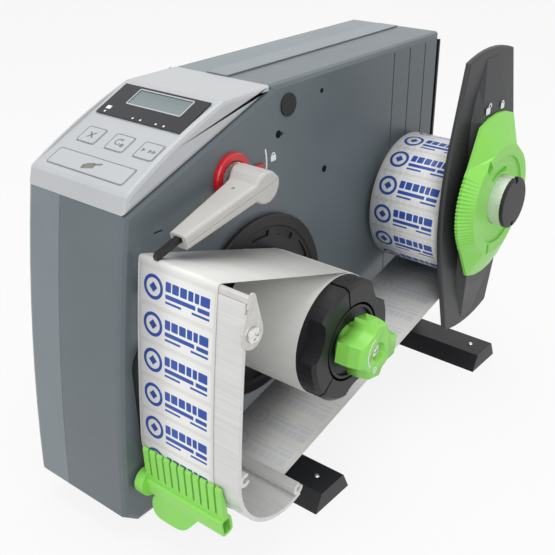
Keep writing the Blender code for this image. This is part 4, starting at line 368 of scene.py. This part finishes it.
# Near-black for the wall's screw holes: painted shade of their insides.
HOLE_SHADE_PAINT = plastic("painted_hole_shade", (0.004, 0.004, 0.005), 0.70, (900.0, 0.05), 0.10, 0.10)
WHITE_INK = plastic("white_print", (0.86, 0.87, 0.87), 0.45, (1500.0, 0.02), 0.01)
GREY_INK = plastic("grey_print", (0.215, 0.200, 0.175), 0.50, (1500.0, 0.02), 0.03)
PALE_RIM = plastic("lcd_rim", (0.50, 0.53, 0.53), 0.30, (1500.0, 0.02), 0.02)
# Metals: colour, roughness, stretch of the lines, how metallic, depth of the lines
ALUMINIUM = metal("anodised_aluminium", (0.74, 0.745, 0.735), 0.36, (8.0, 500.0, 500.0), 0.25, 0.02)
TUBE = metal("machined_aluminium", (0.80, 0.80, 0.79), 0.42, (1600.0, 30.0, 30.0), 0.45, 0.03)
STEEL = metal("bright_steel", (0.80, 0.79, 0.77), 0.22, (90.0, 500.0, 500.0), 0.9, 0.04)
SHEET = metal("pressed_sheet", (0.66, 0.65, 0.63), 0.34, (60.0, 300.0, 300.0), 0.45, 0.04)
PRINTED = label_paper("printed_labels")
BACK = label_paper("web_back", ghost=True)
ROLL = label_paper("roll_labels", turned=True)
LINER = liner_paper("liner")


def make_lcd():
    """The screen: a grey-green glass that darkens a little towards its top."""
    item, net, shader, place = start_material("lcd_glass")
    low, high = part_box("lcd_screen")
    share = net.span(net.split(place)[1], low.y, high.y)
    grid = net.noise(place, 2600.0, 1.0)
    tone = net.mix(share, (0.225, 0.275, 0.290), (0.165, 0.210, 0.220))
    dots = net.math("MULTIPLY", grid, 0.15)
    net.feed(shader["Base Color"], net.mix(dots, tone, (0.16, 0.20, 0.20)))
    shader["Roughness"].default_value = 0.14
    net.feed(shader["Normal"], net.bump(grid, 0.02, 0.0001))
    return item


LCD = make_lcd()

# The nodes that aren't black plastic
LOOKS = (
    (HOUSING, "main_housing"), (COVER_PAINTED_TOP_LIGHT, "left_cover"), (STRIP_PAINTED_TOP_LIGHT, "top_strip"), (PANEL, "key_panel"),
    (KEY, "clear_key mode_key advance_key dispense_key"), (WINDOW, "display_window"),
    (LCD, "lcd_screen"), (LEVER_GREY, "lever_upper_half lever_lower_half"), (RED, "lever_ring"),
    (GREEN, "comb_brake drum_knob guide_lock"), (GUIDE, "outer_guide"),
    (ALUMINIUM, "dispensing_plate"), (TUBE, "unwind_shaft"),
    (SHEET, "peel_edge chassis_plate gear_motor"),
    (STEEL, "edge_screw lever_pivot comb_rod rewind_shaft knob_screw motor_pinion"),
    (STEEL, "front_foot_screw rear_foot_screw"), (BOARD, "circuit_board"),
    (CARDBOARD, "roll_core"), (LINER, "liner_wrap label_web label_roll"),
)
node_looks = {label: look for look, labels in LOOKS for label in labels.split()}


def wear(item, *looks):
    """Gives a piece these materials and no other."""
    item.data.materials.clear()
    for look in looks:
        item.data.materials.append(look)


for label, item in NODES.items():
    wear(item, node_looks.get(label, BLACK))


# Modelling
MARK_HEIGHT = 0.00012
DISC_SIDES = 32
SMOOTH_ANGLE = 30.0
CORNER_SEGMENTS = 5
BOW_STEP = 6.0
MERGE = 1e-6
NEAR = 1e-5


def deselect():
    """Leaves edit mode and clears the selection."""
    if bpy.context.object and bpy.context.object.mode != "OBJECT":
        bpy.ops.object.mode_set(mode="OBJECT")
    for item in bpy.data.objects:
        item.select_set(False)


def begin(name, kind, **sizes):
    """A new primitive, alone in the selection."""
    deselect()
    getattr(bpy.ops.mesh, "primitive_%s_add" % kind)(**sizes)
    item = bpy.context.object
    item.name = name
    item.data.name = name
    return item


def editing(action="SELECT"):
    """Goes to edit mode with all selected, or none."""
    bpy.ops.object.mode_set(mode="EDIT")
    bpy.ops.mesh.select_all(action=action)


def thicken(height):
    """Turns a flat sheet into a plate that stands on it, shut all round."""
    bpy.ops.mesh.select_all(action="SELECT")
    bpy.ops.mesh.extrude_region_move(TRANSFORM_OT_translate={"value": (0.0, 0.0, height)})
    bpy.ops.mesh.select_all(action="SELECT")
    bpy.ops.mesh.normals_make_consistent(inside=False)
    bpy.ops.object.mode_set(mode="OBJECT")


def settle(item, spot, turn=0.0):
    """Puts a mark on its spot, turned about it by degrees."""
    place = Matrix.Translation((spot[0], spot[1], 0.0))
    item.matrix_world = place @ Matrix.Rotation(math.radians(turn), 4, "Z")
    return item


def plate(spot, size, radius=0.0, line=0.0, height=MARK_HEIGHT, turn=0.0):
    """A rounded plate, or its outline only where a line width is given."""
    item = begin("mark", "plane", size=1.0)
    editing()
    bpy.ops.transform.resize(value=(size[0], size[1], 1.0))
    if radius:
        bpy.ops.mesh.bevel(offset=radius, segments=CORNER_SEGMENTS, affect="VERTICES")
    if line:
        bpy.ops.mesh.inset(thickness=line, depth=0.0)
        bpy.ops.mesh.delete(type="FACE")
    thicken(height)
    return settle(item, spot, turn)


def disc(spot, radius, hole=0.0, height=MARK_HEIGHT, sides=DISC_SIDES, turn=0.0):
    """A disc, a ring, or with three sides a triangle."""
    item = begin("mark", "circle", vertices=sides, radius=radius, fill_type="NGON")
    editing()
    if hole:
        bpy.ops.mesh.inset(thickness=radius - hole, depth=0.0)
        bpy.ops.mesh.delete(type="FACE")
    thicken(height)
    return settle(item, spot, turn)


def bow(spot, radius, width, start, end, height=MARK_HEIGHT):
    """A curved line: a short edge spun round a middle, from one angle to another in degrees."""
    item = begin("mark", "plane", size=1.0)
    editing()
    bpy.ops.mesh.delete(type="ONLY_FACE")
    work = bmesh.from_edit_mesh(item.data)
    work.verts.ensure_lookup_table()
    bmesh.ops.delete(work, geom=list(work.verts)[2:], context="VERTS")
    work.verts.ensure_lookup_table()
    angle = math.radians(start)
    for vert, reach in zip(work.verts, (radius - width / 2, radius + width / 2)):
        vert.co = (reach * math.cos(angle), reach * math.sin(angle), 0.0)
    bmesh.update_edit_mesh(item.data)
    bpy.ops.mesh.select_all(action="SELECT")
    steps = max(4, int(abs(end - start) / BOW_STEP))
    sweep = math.radians(end - start)
    bpy.ops.mesh.spin(steps=steps, angle=sweep, center=(0.0, 0.0, 0.0), axis=(0.0, 0.0, -1.0))
    thicken(height)
    return settle(item, spot)


def select(*items):
    """Selects items alone and makes the first one active."""
    deselect()
    for item in items:
        item.select_set(True)
    bpy.context.view_layer.objects.active = items[0]


def finish_mesh(item, looks, body):
    """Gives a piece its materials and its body."""
    wear(item, *looks)
    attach(item, body)


def finish(name, items, matrix, body, look):
    """Joins items, puts them in place and makes them one piece on a body."""
    select(*items)
    if len(items) > 1:
        bpy.ops.object.join()
    whole = bpy.context.object
    whole.matrix_world = matrix @ whole.matrix_world
    bpy.context.view_layer.update()
    bpy.ops.object.transform_apply(location=True, rotation=True, scale=True)
    bpy.ops.object.shade_smooth_by_angle(angle=math.radians(SMOOTH_ANGLE))
    whole.name = name
    whole.data.name = name
    finish_mesh(whole, (look,), body)


def white_sign(name, items, matrix, body="base"):
    """Joins marks to one white sign."""
    finish(name, items, matrix, body, WHITE_INK)


def on_wall(x, y, z):
    """Marks that face +X: their X runs back along Y, their Y up, at a place of the layout."""
    turn = Matrix(((0, 0, 1), (1, 0, 0), (0, 1, 0))).to_4x4()
    return Matrix.Translation(LAYOUT + Vector((x, y, z))) @ turn


SLOPE = math.radians(24.1)
SLOPE_START = LAYOUT + Vector((0.0, 0.0299, 0.2684))


def on_slope(x, along, off):
    """Marks on the key panel: their X to the right, their Y up the slope."""
    start = Matrix.Translation(SLOPE_START + Vector((x, 0.0, 0.0)))
    return start @ Matrix.Rotation(SLOPE, 4, "X") @ Matrix.Translation((0.0, along, off))


# A padlock in shares of its width: body height and corner, shackle radius and line, its middle
LOCK_BODY = (0.78, 0.16)
SHACKLE = (0.30, 0.15)
SHACKLE_SHUT = (0.0, 0.36)
SHACKLE_OPEN = (0.42, 0.46)


def padlock(size, opened=False):
    """A plain padlock sign, its shackle swung aside where it is opened."""
    body = plate((0.0, 0.0), (size, size * LOCK_BODY[0]), size * LOCK_BODY[1])
    x, y = SHACKLE_OPEN if opened else SHACKLE_SHUT
    start, end = (-30.0, 190.0) if opened else (0.0, 180.0)
    return [body, bow((size * x, size * y), size * SHACKLE[0], size * SHACKLE[1], start, end)]


# Key panel signs. Each key: its body, then left edge, start, width and length on the slope
KEY_TOP = 0.0007
KEYS = {
    "clear_key": ("clear_button", 0.0812, 0.0292, 0.0182, 0.0158),
    "mode_key": ("mode_button", 0.0530, 0.0292, 0.0182, 0.0158),
    "advance_key": ("advance_button", 0.0252, 0.0292, 0.0182, 0.0158),
    "dispense_key": ("dispense_button", 0.0862, 0.0041, 0.0756, 0.0158),
}
KEY_EDGE_GAP = 0.3
KEY_EDGE_ROUND = 2.3
KEY_EDGE_LINE = 0.55
CROSS_BAR = (7.6, 1.2)
CROSS_TURNS = (45.0, -45.0)
ARROW_SPOTS = (-5.0, 1.2, 4.6)
ARROW_RADIUS = 2.1
# The blocks of the wide key's sign: x, y, width, height, corner radius
HAND_BLOCKS = ((0.0, -0.6, 8.6, 5.2, 1.8), (5.8, 2.4, 6.8, 1.7, 0.8), (-4.6, -2.6, 2.6, 4.2, 0.6))
HAND_TURN = 18.0


def key_signs(label):
    """The sign on one key, from its middle: all its numbers are in mm."""
    if label == "clear_key":
        long, wide = CROSS_BAR
        return [plate((0, 0), (long * MM, wide * MM), turn=turn) for turn in CROSS_TURNS]
    if label == "mode_key":
        return [
            bow((-1.5 * MM, 0.6 * MM), 2.6 * MM, 0.9 * MM, 60.0, 330.0),
            disc((0.3 * MM, 3.0 * MM), 1.5 * MM, sides=3, turn=70.0),
            disc((3.4 * MM, -1.8 * MM), 1.7 * MM),
        ]
    if label == "advance_key":
        return [disc((x * MM, 0.0), ARROW_RADIUS * MM, sides=3, turn=-90.0) for x in ARROW_SPOTS]
    return [
        plate((x * MM, y * MM), (wide * MM, tall * MM), corner * MM, turn=HAND_TURN)
        for x, y, wide, tall, corner in HAND_BLOCKS
    ]


for label, (body, left, start, width, length) in KEYS.items():
    middle = on_slope(-left + width / 2, start + length / 2, KEY_TOP)
    size = (width - KEY_EDGE_GAP * MM, length - KEY_EDGE_GAP * MM)
    edge = plate((0.0, 0.0), size, KEY_EDGE_ROUND * MM, KEY_EDGE_LINE * MM)
    finish(label + "_signs", [edge] + key_signs(label), middle, body, GREY_INK)


# Display window: its left edge, start and width on the slope, and its lamps' shares of the width
WINDOW_TOP = 0.0016
WINDOW_LEFT = -0.0885
WINDOW_START = 0.0582
WINDOW_WIDTH = 0.0835
SCREEN_MIDDLE = (-0.0442, 0.0806)
RIM_SIZE = (53.4 * MM, 17.4 * MM)
LAMP_SHARES = (0.43, 0.52, 0.70, 0.79)
SIDE_LAMP_X = WINDOW_LEFT + 0.0073
rim = plate((0.0, 0.0), RIM_SIZE, 1.6 * MM, 1.0 * MM, 0.25 * MM)
finish("lcd_rim", [rim], on_slope(*SCREEN_MIDDLE, WINDOW_TOP), "base", PALE_RIM)
lamps = []
for share in LAMP_SHARES:
    lamps.append(disc((WINDOW_LEFT + share * WINDOW_WIDTH, WINDOW_START + 0.0021), 0.85 * MM))
lamps.append(plate((SIDE_LAMP_X, WINDOW_START + 0.0068), (4.4 * MM, 3.4 * MM), 0.5 * MM))
lamps.append(disc((SIDE_LAMP_X, WINDOW_START + 0.0024), 0.9 * MM))
white_sign("window_lamps", lamps, on_slope(0.0, 0.0, WINDOW_TOP))

# Wall signs: the pressure scale and its lock
WALL_TOP = 0.00002
scale_line = bow((0.0, 0.0), 39.9 * MM, 1.4 * MM, -7.4, 15.0)
white_sign("pressure_scale", [scale_line], on_wall(WALL_TOP, LEVER.y, LEVER.z))
white_sign("wall_lock_sign", padlock(6.0 * MM), on_wall(WALL_TOP, 0.1718, 0.2535))

# The screw holes in the wall, as near-black discs on its face: painted shade for their insides. Their
# y, z and radius
WALL_HOLES = ((0.1778, 0.2701, 0.0030), (0.2311, 0.2916, 0.0019), (0.2365, 0.2267, 0.0029))
first_y, first_z = WALL_HOLES[0][:2]
holes = [disc((y - first_y, z - first_z), radius) for y, z, radius in WALL_HOLES]
place = on_wall(WALL_TOP, first_y, first_z)
# Flat near-black discs on the wall: painted shade where the holes are.
finish("wall_hole_painted_shade", holes, place, "base", HOLE_SHADE_PAINT)

# Guide and lock signs
SPINE_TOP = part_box("outer_guide")[1].x - LAYOUT.x
place = on_wall(SPINE_TOP, UNWIND.y - 0.0150, UNWIND.z + 0.078)
white_sign("unlock_sign", padlock(7.2 * MM, True), place, "guide")
place = on_wall(SPINE_TOP, UNWIND.y + 0.0110, UNWIND.z + 0.077)
white_sign("lock_sign", padlock(6.2 * MM), place, "guide")

# Knob signs: a turning arrow and a small ring
KNOB_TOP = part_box("drum_knob")[1].x - LAYOUT.x
ARROW_BOW = 13.2 * MM
ARROW_END = 212.0
RING_SPOT = (-4.1 * MM, -13.1 * MM)
end = math.radians(ARROW_END)
tip = (ARROW_BOW * math.cos(end), ARROW_BOW * math.sin(end))
arrow = [
    bow((0.0, 0.0), ARROW_BOW, 0.9 * MM, 110.0, 208.0),
    disc(tip, 1.5 * MM, sides=3, turn=ARROW_END - 180.0),
    disc(RING_SPOT, 2.5 * MM, 1.75 * MM),
    plate(RING_SPOT, (2.0 * MM, 0.8 * MM), 0.3 * MM, turn=30.0),
]
white_sign("knob_signs", arrow, on_wall(KNOB_TOP, REWIND.y, REWIND.z), "knob")


# Copies of two CAD meshes, with their forms brought nearer to the photograph
def reshaped(node, name, look, body, smooth, change):
    """A copy of a CAD mesh, merged and changed point by point, that stands for its node."""
    deselect()
    item = bpy.data.objects.new(name, NODES[node].data.copy())
    bpy.context.scene.collection.objects.link(item)
    work = bmesh.new()
    work.from_mesh(item.data)
    bmesh.ops.remove_doubles(work, verts=work.verts, dist=MERGE)
    for vert in work.verts:
        change(vert.co)
    work.to_mesh(item.data)
    work.free()
    finish_mesh(item, (look,), body)
    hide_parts(node)
    select(item)
    bpy.ops.object.shade_smooth_by_angle(angle=math.radians(smooth))


TONGUE_SHARE = 0.66
KNOB_LOBE_TURN = 169.0
KNOB_DRAWN_IN = 0.18
KNOB_CORE = 0.0150
KNOB_SMOOTH = 22.0


def draw_in(spot):
    """Draws the knob's upper and lower lobes in, to leave two wings."""
    way = Vector((0.0, spot.y - LAYOUT.y - REWIND.y, spot.z - REWIND.z))
    if way.length > KNOB_CORE:
        across = math.sin(math.atan2(way.z, way.y) - math.radians(KNOB_LOBE_TURN))
        spot -= way * KNOB_DRAWN_IN * across * across


def make_narrow(spot):
    """Narrows the lever's tongue about its middle."""
    low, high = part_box("lever_tongue")
    middle = (low.x + high.x) / 2
    spot.x = middle + (spot.x - middle) * TONGUE_SHARE


# Web and roll
WEB_FRONT_Y = -0.15
WEB_THICKNESS = 0.0003
FOLD_Z = 0.2262
# Whole labels added to the way along, so that no place on it is negative
RUN_UP = 40 * LABEL_PITCH
ROLL_SHIFT = 0.43 * LABEL_PITCH
ROLL_STEPS = 144
CORE_GAP = 0.0003
RING_PITCH = 0.0006


def loop_at(node, x):
    """The outline of a CAD bar at its end x, in order, as (y, z) pairs."""
    work = bmesh.new()
    work.from_mesh(NODES[node].data)
    bmesh.ops.remove_doubles(work, verts=work.verts, dist=MERGE)
    near = {vert for vert in work.verts if abs(vert.co.x - x) < NEAR}
    follow = {vert: [] for vert in near}
    for edge in work.edges:
        one, two = edge.verts
        if one in near and two in near and any(abs(face.normal.x) < 0.5 for face in edge.link_faces):
            follow[one].append(two)
            follow[two].append(one)
    here = min(near, key=lambda vert: (vert.co.y, vert.co.z))
    loop = [here]
    before = None
    while True:
        step = [vert for vert in follow[here] if vert is not before]
        if not step or step[0] is loop[0]:
            break
        before, here = here, step[0]
        loop.append(here)
    points = [(vert.co.y, vert.co.z) for vert in loop]
    work.free()
    return points


def web_sides():
    """The web's inner and outer line, both from the roll to the drum."""
    low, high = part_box("label_web")
    loop = loop_at("label_web", low.x)
    count = len(loop)

    def side(i):
        """The length of one side of the loop."""
        return (Vector(loop[i]) - Vector(loop[(i + 1) % count])).length

    first, second = sorted(sorted(range(count), key=side)[:2])
    one = loop[first + 1:second + 1]
    two = (loop[second + 1:] + loop[:first + 1])[::-1]
    if one[0][0] < one[-1][0]:
        one.reverse()
        two.reverse()
    lowest = [min(point[1] for point in line) for line in (one, two)]
    return (two, one) if lowest[0] < lowest[1] else (one, two)


def share_at(before, after, z):
    """How far between two points of a line it passes a height."""
    return (z - before[1]) / (after[1] - before[1])


def strip(name, line, left, width, anchor_z):
    """A sheet along a line, its UV map the way along it, with a label's edge at a front height."""
    item = begin(name, "plane", size=1.0)
    editing("DESELECT")
    work = bmesh.from_edit_mesh(item.data)
    bmesh.ops.delete(work, geom=list(work.verts), context="VERTS")
    run = [0.0]
    for before, after in zip(line, line[1:]):
        run.append(run[-1] + (Vector(after) - Vector(before)).length)
    zero = 0.0
    for i, (before, after) in enumerate(zip(line, line[1:])):
        if before[0] < WEB_FRONT_Y and before[1] < after[1] and before[1] <= anchor_z <= after[1]:
            zero = run[i] + share_at(before, after, anchor_z) * (run[i + 1] - run[i])
            break
    layer = work.loops.layers.uv.new("path")
    rows = []
    for y, z in line:
        rows.append([work.verts.new((left, y, z)), work.verts.new((left + width, y, z))])
    for i in range(len(rows) - 1):
        face = work.faces.new((rows[i][0], rows[i][1], rows[i + 1][1], rows[i + 1][0]))
        marks = ((0.0, run[i]), (width, run[i]), (width, run[i + 1]), (0.0, run[i + 1]))
        for corner, (u, v) in zip(face.loops, marks):
            corner[layer].uv = (u, v - zero + RUN_UP)
    bmesh.update_edit_mesh(item.data)
    bpy.ops.object.mode_set(mode="OBJECT")
    return item


def with_point_at(line, z):
    """The line with a point added where its front run passes a height."""
    points = []
    for before, after in zip(line, line[1:] + [line[-1]]):
        points.append(before)
        if before[0] < WEB_FRONT_Y and before[1] < z < after[1]:
            share = share_at(before, after, z)
            points.append((before[0] + share * (after[0] - before[0]), z))
    return points


def make_web():
    """The web: labels outside up to the fold, bare liner from there to the drum."""
    low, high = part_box("label_web")
    line = with_point_at(web_sides()[1], FOLD_Z)
    web = strip("label_web_sheet", line, low.x, high.x - low.x, LABEL_FIRST)
    wear(web, PRINTED, LINER, BACK, LINER)
    folded = False
    for face in web.data.polygons:
        if face.center.y < WEB_FRONT_Y and face.center.z > FOLD_Z:
            folded = True
        face.material_index = 1 if folded else 0
        face.use_smooth = True
    thick = web.modifiers.new("thickness", "SOLIDIFY")
    thick.thickness = WEB_THICKNESS
    thick.offset = -1.0
    thick.material_offset = 2
    select(web)
    bpy.ops.object.modifier_apply(modifier="thickness")
    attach(web, "base")
    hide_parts("label_web")


def make_label_roll():
    """The wound labels: a ring spun from its section, with the way round kept as a UV map."""
    low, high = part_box("label_roll")
    centre = Vector((0.0, (low.y + high.y) / 2, (low.z + high.z) / 2))
    outer = (high.z - low.z) / 2
    core_low, core_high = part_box("roll_core")
    inner = (core_high.z - core_low.z) / 2 + CORE_GAP
    rows = round(2 * math.pi * outer / LABEL_PITCH)
    pace = rows * LABEL_PITCH / (2 * math.pi)
    item = begin("label_roll_wound", "plane", size=1.0)
    editing("DESELECT")
    work = bmesh.from_edit_mesh(item.data)
    work.faces.ensure_lookup_table()
    corners = ((low.x, inner), (high.x, inner), (high.x, outer), (low.x, outer))
    for loop, (x, radius) in zip(work.faces[0].loops, corners):
        loop.vert.co = (x, centre.y + radius, centre.z)
    bmesh.ops.delete(work, geom=list(work.faces), context="FACES_ONLY")
    bmesh.update_edit_mesh(item.data)
    bpy.ops.mesh.select_all(action="SELECT")
    bpy.ops.mesh.spin(steps=ROLL_STEPS, angle=2 * math.pi, center=centre, axis=(1.0, 0.0, 0.0))
    bpy.ops.mesh.select_all(action="SELECT")
    bpy.ops.mesh.remove_doubles(threshold=MERGE)
    bpy.ops.mesh.normals_make_consistent(inside=False)
    bpy.ops.object.mode_set(mode="OBJECT")
    mesh = item.data
    layer = mesh.uv_layers[0] if mesh.uv_layers else mesh.uv_layers.new(name="path")
    layer.name = "path"
    for face in mesh.polygons:
        middle = math.atan2(face.center.z - centre.z, face.center.y - centre.y)
        for index in face.loop_indices:
            place = mesh.vertices[mesh.loops[index].vertex_index].co
            angle = math.atan2(place.z - centre.z, place.y - centre.y)
            angle += 2 * math.pi * round((middle - angle) / (2 * math.pi))
            layer.data[index].uv = (place.x - low.x, ROLL_SHIFT - angle * pace + RUN_UP)
        face.material_index = 0 if abs(face.normal.x) < 0.5 else 1
        face.use_smooth = abs(face.normal.x) < 0.5
    finish_mesh(item, (ROLL, ROLL_SIDE), "roll")
    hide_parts("label_roll")


def make_roll_side():
    """The side of a roll: the edges of the wound layers as fine rings."""
    item, net, shader, place = start_material("roll_side")
    low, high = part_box("label_roll")
    parts = net.split(place)
    dy = net.math("SUBTRACT", parts[1], (low.y + high.y) / 2)
    dz = net.math("SUBTRACT", parts[2], (low.z + high.z) / 2)
    rings = net.math("SINE", net.math("MULTIPLY", net.reach(dy, dz), 2 * math.pi / RING_PITCH))
    wide = net.noise(place, 60.0, 3.0)
    fine = net.span(rings, -1.0, 1.0, 0.0, 0.6)
    share = net.math("ADD", fine, net.math("MULTIPLY", wide, 0.4))
    net.feed(shader["Base Color"], net.mix(share, (0.50, 0.495, 0.47), (0.74, 0.735, 0.71)))
    shader["Roughness"].default_value = 0.7
    net.feed(shader["Normal"], net.bump(rings, 0.3, 0.0001))
    return item


make_web()
ROLL_SIDE = make_roll_side()
make_label_roll()
reshaped("drum_knob", "drum_knob_winged", GREEN, "knob", KNOB_SMOOTH, draw_in)
reshaped(
    "lever_tongue", "lever_tongue_narrow", BLACK, "lever", SMOOTH_ANGLE, make_narrow,
)

# Fasteners and pins of the sides the photograph doesn't show
HOUSING_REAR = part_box("rear_panel")[1].y
REAR_TURN = Matrix(((-1, 0, 0), (0, 0, 1), (0, 1, 0))).to_4x4()
SCREW_SIDES = 28
SCREW_RADIUS = 0.0031
SCREW_HEIGHT = 0.0016
SCREW_TURNS = (20.0, 110.0)
# Width and rise of the two steps of its dome, then length, width and rise of its cross
SCREW_DOME = ((0.35, 0.35), (0.25, 0.08))
SCREW_CROSS = (1.15, 0.24, 0.8)
SCREW_INSET_X = 0.007
SCREW_INSET_Z = 0.008
PIN_SIZE = (0.0021, 0.0043, 0.0115)
PIN_ROUND = 0.0004
PIN_DEPTH = 0.0098
# The three pins: shares of the quarter width, and rise
PINS = ((-1, 0.0), (0, 0.0021), (1, 0.0))


def on_rear(x, z, off=0.0):
    """Pieces on the rear panel: their X to the right seen from behind, their Y up."""
    return Matrix.Translation((x, HOUSING_REAR + off, z)) @ REAR_TURN


def middle_of(node):
    """The middle of a node's box across and upwards."""
    low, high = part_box(node)
    return (low.x + high.x) / 2, (low.z + high.z) / 2


def screw_head(spot, radius, height):
    """A domed screw head with a cross cut in it."""
    item = begin("screw", "cylinder", vertices=SCREW_SIDES, radius=radius, depth=height)
    editing("DESELECT")
    work = bmesh.from_edit_mesh(item.data)
    for face in work.faces:
        face.select = face.normal.z > 0.9
    bmesh.update_edit_mesh(item.data)
    for thickness, depth in SCREW_DOME:
        bpy.ops.mesh.inset(thickness=radius * thickness, depth=height * depth)
    bpy.ops.object.mode_set(mode="OBJECT")
    item.location = (spot[0], spot[1], 0.0)
    long, wide, rise = SCREW_CROSS
    for turn in SCREW_TURNS:
        bar = plate(spot, (radius * long, radius * wide), height=height, turn=turn)
        bar.location.z = height * rise
        step = item.modifiers.new("cross", "BOOLEAN")
        step.object = bar
        step.solver = "EXACT"
        select(item)
        bpy.ops.object.modifier_apply(modifier="cross")
        bpy.data.objects.remove(bar)
    return item


def make_rear_screws():
    """A screw in each corner of the rear panel."""
    low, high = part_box("rear_panel")
    heads = []
    for x in (low.x + SCREW_INSET_X, high.x - SCREW_INSET_X):
        for z in (low.z + SCREW_INSET_Z, high.z - SCREW_INSET_Z):
            heads.append(screw_head((-x, z), SCREW_RADIUS, SCREW_HEIGHT))
    finish("rear_screws", heads, on_rear(0.0, 0.0), "base", STEEL)


def make_inlet_pins():
    """The three flat pins in the mains inlet."""
    low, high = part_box("power_inlet")
    pins = []
    for share, rise in PINS:
        pin = begin("pin", "cube", size=1.0)
        editing()
        bpy.ops.transform.resize(value=PIN_SIZE)
        bpy.ops.mesh.bevel(offset=PIN_ROUND, segments=2, affect="EDGES")
        bpy.ops.object.mode_set(mode="OBJECT")
        pin.location = (-share * (high.x - low.x) / 4, rise, -PIN_DEPTH)
        pins.append(pin)
    finish("inlet_pins", pins, on_rear(*middle_of("power_inlet")), "base", STEEL)


def make_rocker_signs():
    """A bar and a ring on the two halves of the mains rocker."""
    signs = [plate((0.0, -0.0055), (0.0006, 0.0034)), disc((0.0, 0.0055), 0.0019, 0.0013)]
    white_sign("rocker_signs", signs, on_rear(*middle_of("power_rocker"), 0.0006), "rocker")


make_rear_screws()
make_inlet_pins()
make_rocker_signs()

# Stage: pale floor, soft studio light and the camera at the photograph's angle
FLOOR_SIZE = 8.0
FLOOR_TONE = (0.80, 0.80, 0.80)
# How much of the floor's look is plain white, and the world's light on surfaces
FLOOR_SHINE = 0.86
AMBIENT = 0.50


def seen_directly(net):
    """1 for what the camera sees, also in a mirror or through glass."""
    path = net.node("ShaderNodeLightPath").outputs
    indirect = net.math("MAXIMUM", path["Is Glossy Ray"], path["Is Transmission Ray"])
    return net.math("MAXIMUM", path["Is Camera Ray"], indirect)


def make_stage():
    """A floor that looks white and keeps a soft shadow, and a plain white world."""
    floor = begin("floor", "plane", size=FLOOR_SIZE)
    item = bpy.data.materials.new("floor_white")
    item.use_nodes = True
    tree = item.node_tree
    net = Net(tree)
    shader = tree.nodes["Principled BSDF"]
    shader.inputs["Base Color"].default_value = (*FLOOR_TONE, 1.0)
    shader.inputs["Roughness"].default_value = 0.9
    shine = net.node("ShaderNodeEmission")
    blend = net.node("ShaderNodeMixShader")
    net.feed(blend.inputs[0], net.math("MULTIPLY", seen_directly(net), FLOOR_SHINE))
    net.feed(blend.inputs[1], shader.outputs[0])
    net.feed(blend.inputs[2], shine.outputs[0])
    net.feed(tree.nodes["Material Output"].inputs["Surface"], blend.outputs[0])
    floor.data.materials.append(item)
    world = bpy.data.worlds.new("studio")
    bpy.context.scene.world = world
    world.use_nodes = True
    net = Net(world.node_tree)
    world.node_tree.nodes.clear()
    seen = seen_directly(net)
    back = net.node("ShaderNodeBackground")
    back.inputs["Color"].default_value = (1.0, 1.0, 1.0, 1.0)
    net.feed(back.inputs["Strength"], net.span(seen, 0.0, 1.0, AMBIENT, 1.0))
    out = net.node("ShaderNodeOutputWorld")
    net.feed(out.inputs["Surface"], back.outputs[0])


def area_lamp(name, place, target, size, power):
    """A square soft lamp that looks at a target."""
    data = bpy.data.lights.new(name, "AREA")
    data.shape = "SQUARE"
    data.size = size
    data.energy = power
    item = bpy.data.objects.new(name, data)
    bpy.context.scene.collection.objects.link(item)
    item.location = place
    way = Vector(target) - Vector(place)
    item.rotation_euler = way.to_track_quat("-Z", "Y").to_euler()
    return item


# The solved camera: azimuth, elevation and roll in degrees, its place and its lens in mm
CAMERA_ANGLES = (38.958, 26.971, -0.226)
CAMERA_PLACE = (0.38219, -0.51523, 0.468498)
CAMERA_LENS = 56.752
SENSOR_WIDTH = 36.0
CLIP_START = 0.01


def make_camera():
    """The camera at the photograph's angle."""
    azimuth, elevation, roll = (math.radians(value) for value in CAMERA_ANGLES)
    flat = Vector((math.sin(azimuth), -math.cos(azimuth), 0.0)) * math.cos(elevation)
    back = flat + Vector((0.0, 0.0, math.sin(elevation)))
    right = Vector((math.cos(azimuth), math.sin(azimuth), 0.0))
    side = right * math.cos(roll) + back.cross(right) * math.sin(roll)
    data = bpy.data.cameras.new("camera")
    data.lens = CAMERA_LENS
    data.sensor_width = SENSOR_WIDTH
    data.clip_start = CLIP_START
    item = bpy.data.objects.new("camera", data)
    bpy.context.scene.collection.objects.link(item)
    turn = Matrix((side, back.cross(side), back)).transposed().to_4x4()
    item.matrix_world = Matrix.Translation(CAMERA_PLACE) @ turn
    bpy.context.scene.camera = item


# The lamps: place, what they look at, side length in metres, power in watts
LAMPS = {
    "top": ((0.15, 0.05, 1.9), (0.0, 0.0, 0.15), 1.5, 17.0),
    "front": ((-0.5, -1.6, 0.9), (0.0, 0.0, 0.15), 1.2, 4.0),
    "side": ((1.0, -1.1, 0.9), (0.0, 0.0, 0.17), 1.0, 6.5),
}
make_stage()
for name, values in LAMPS.items():
    area_lamp(name, *values)
make_camera()
bpy.context.scene.view_settings.view_transform = "Standard"
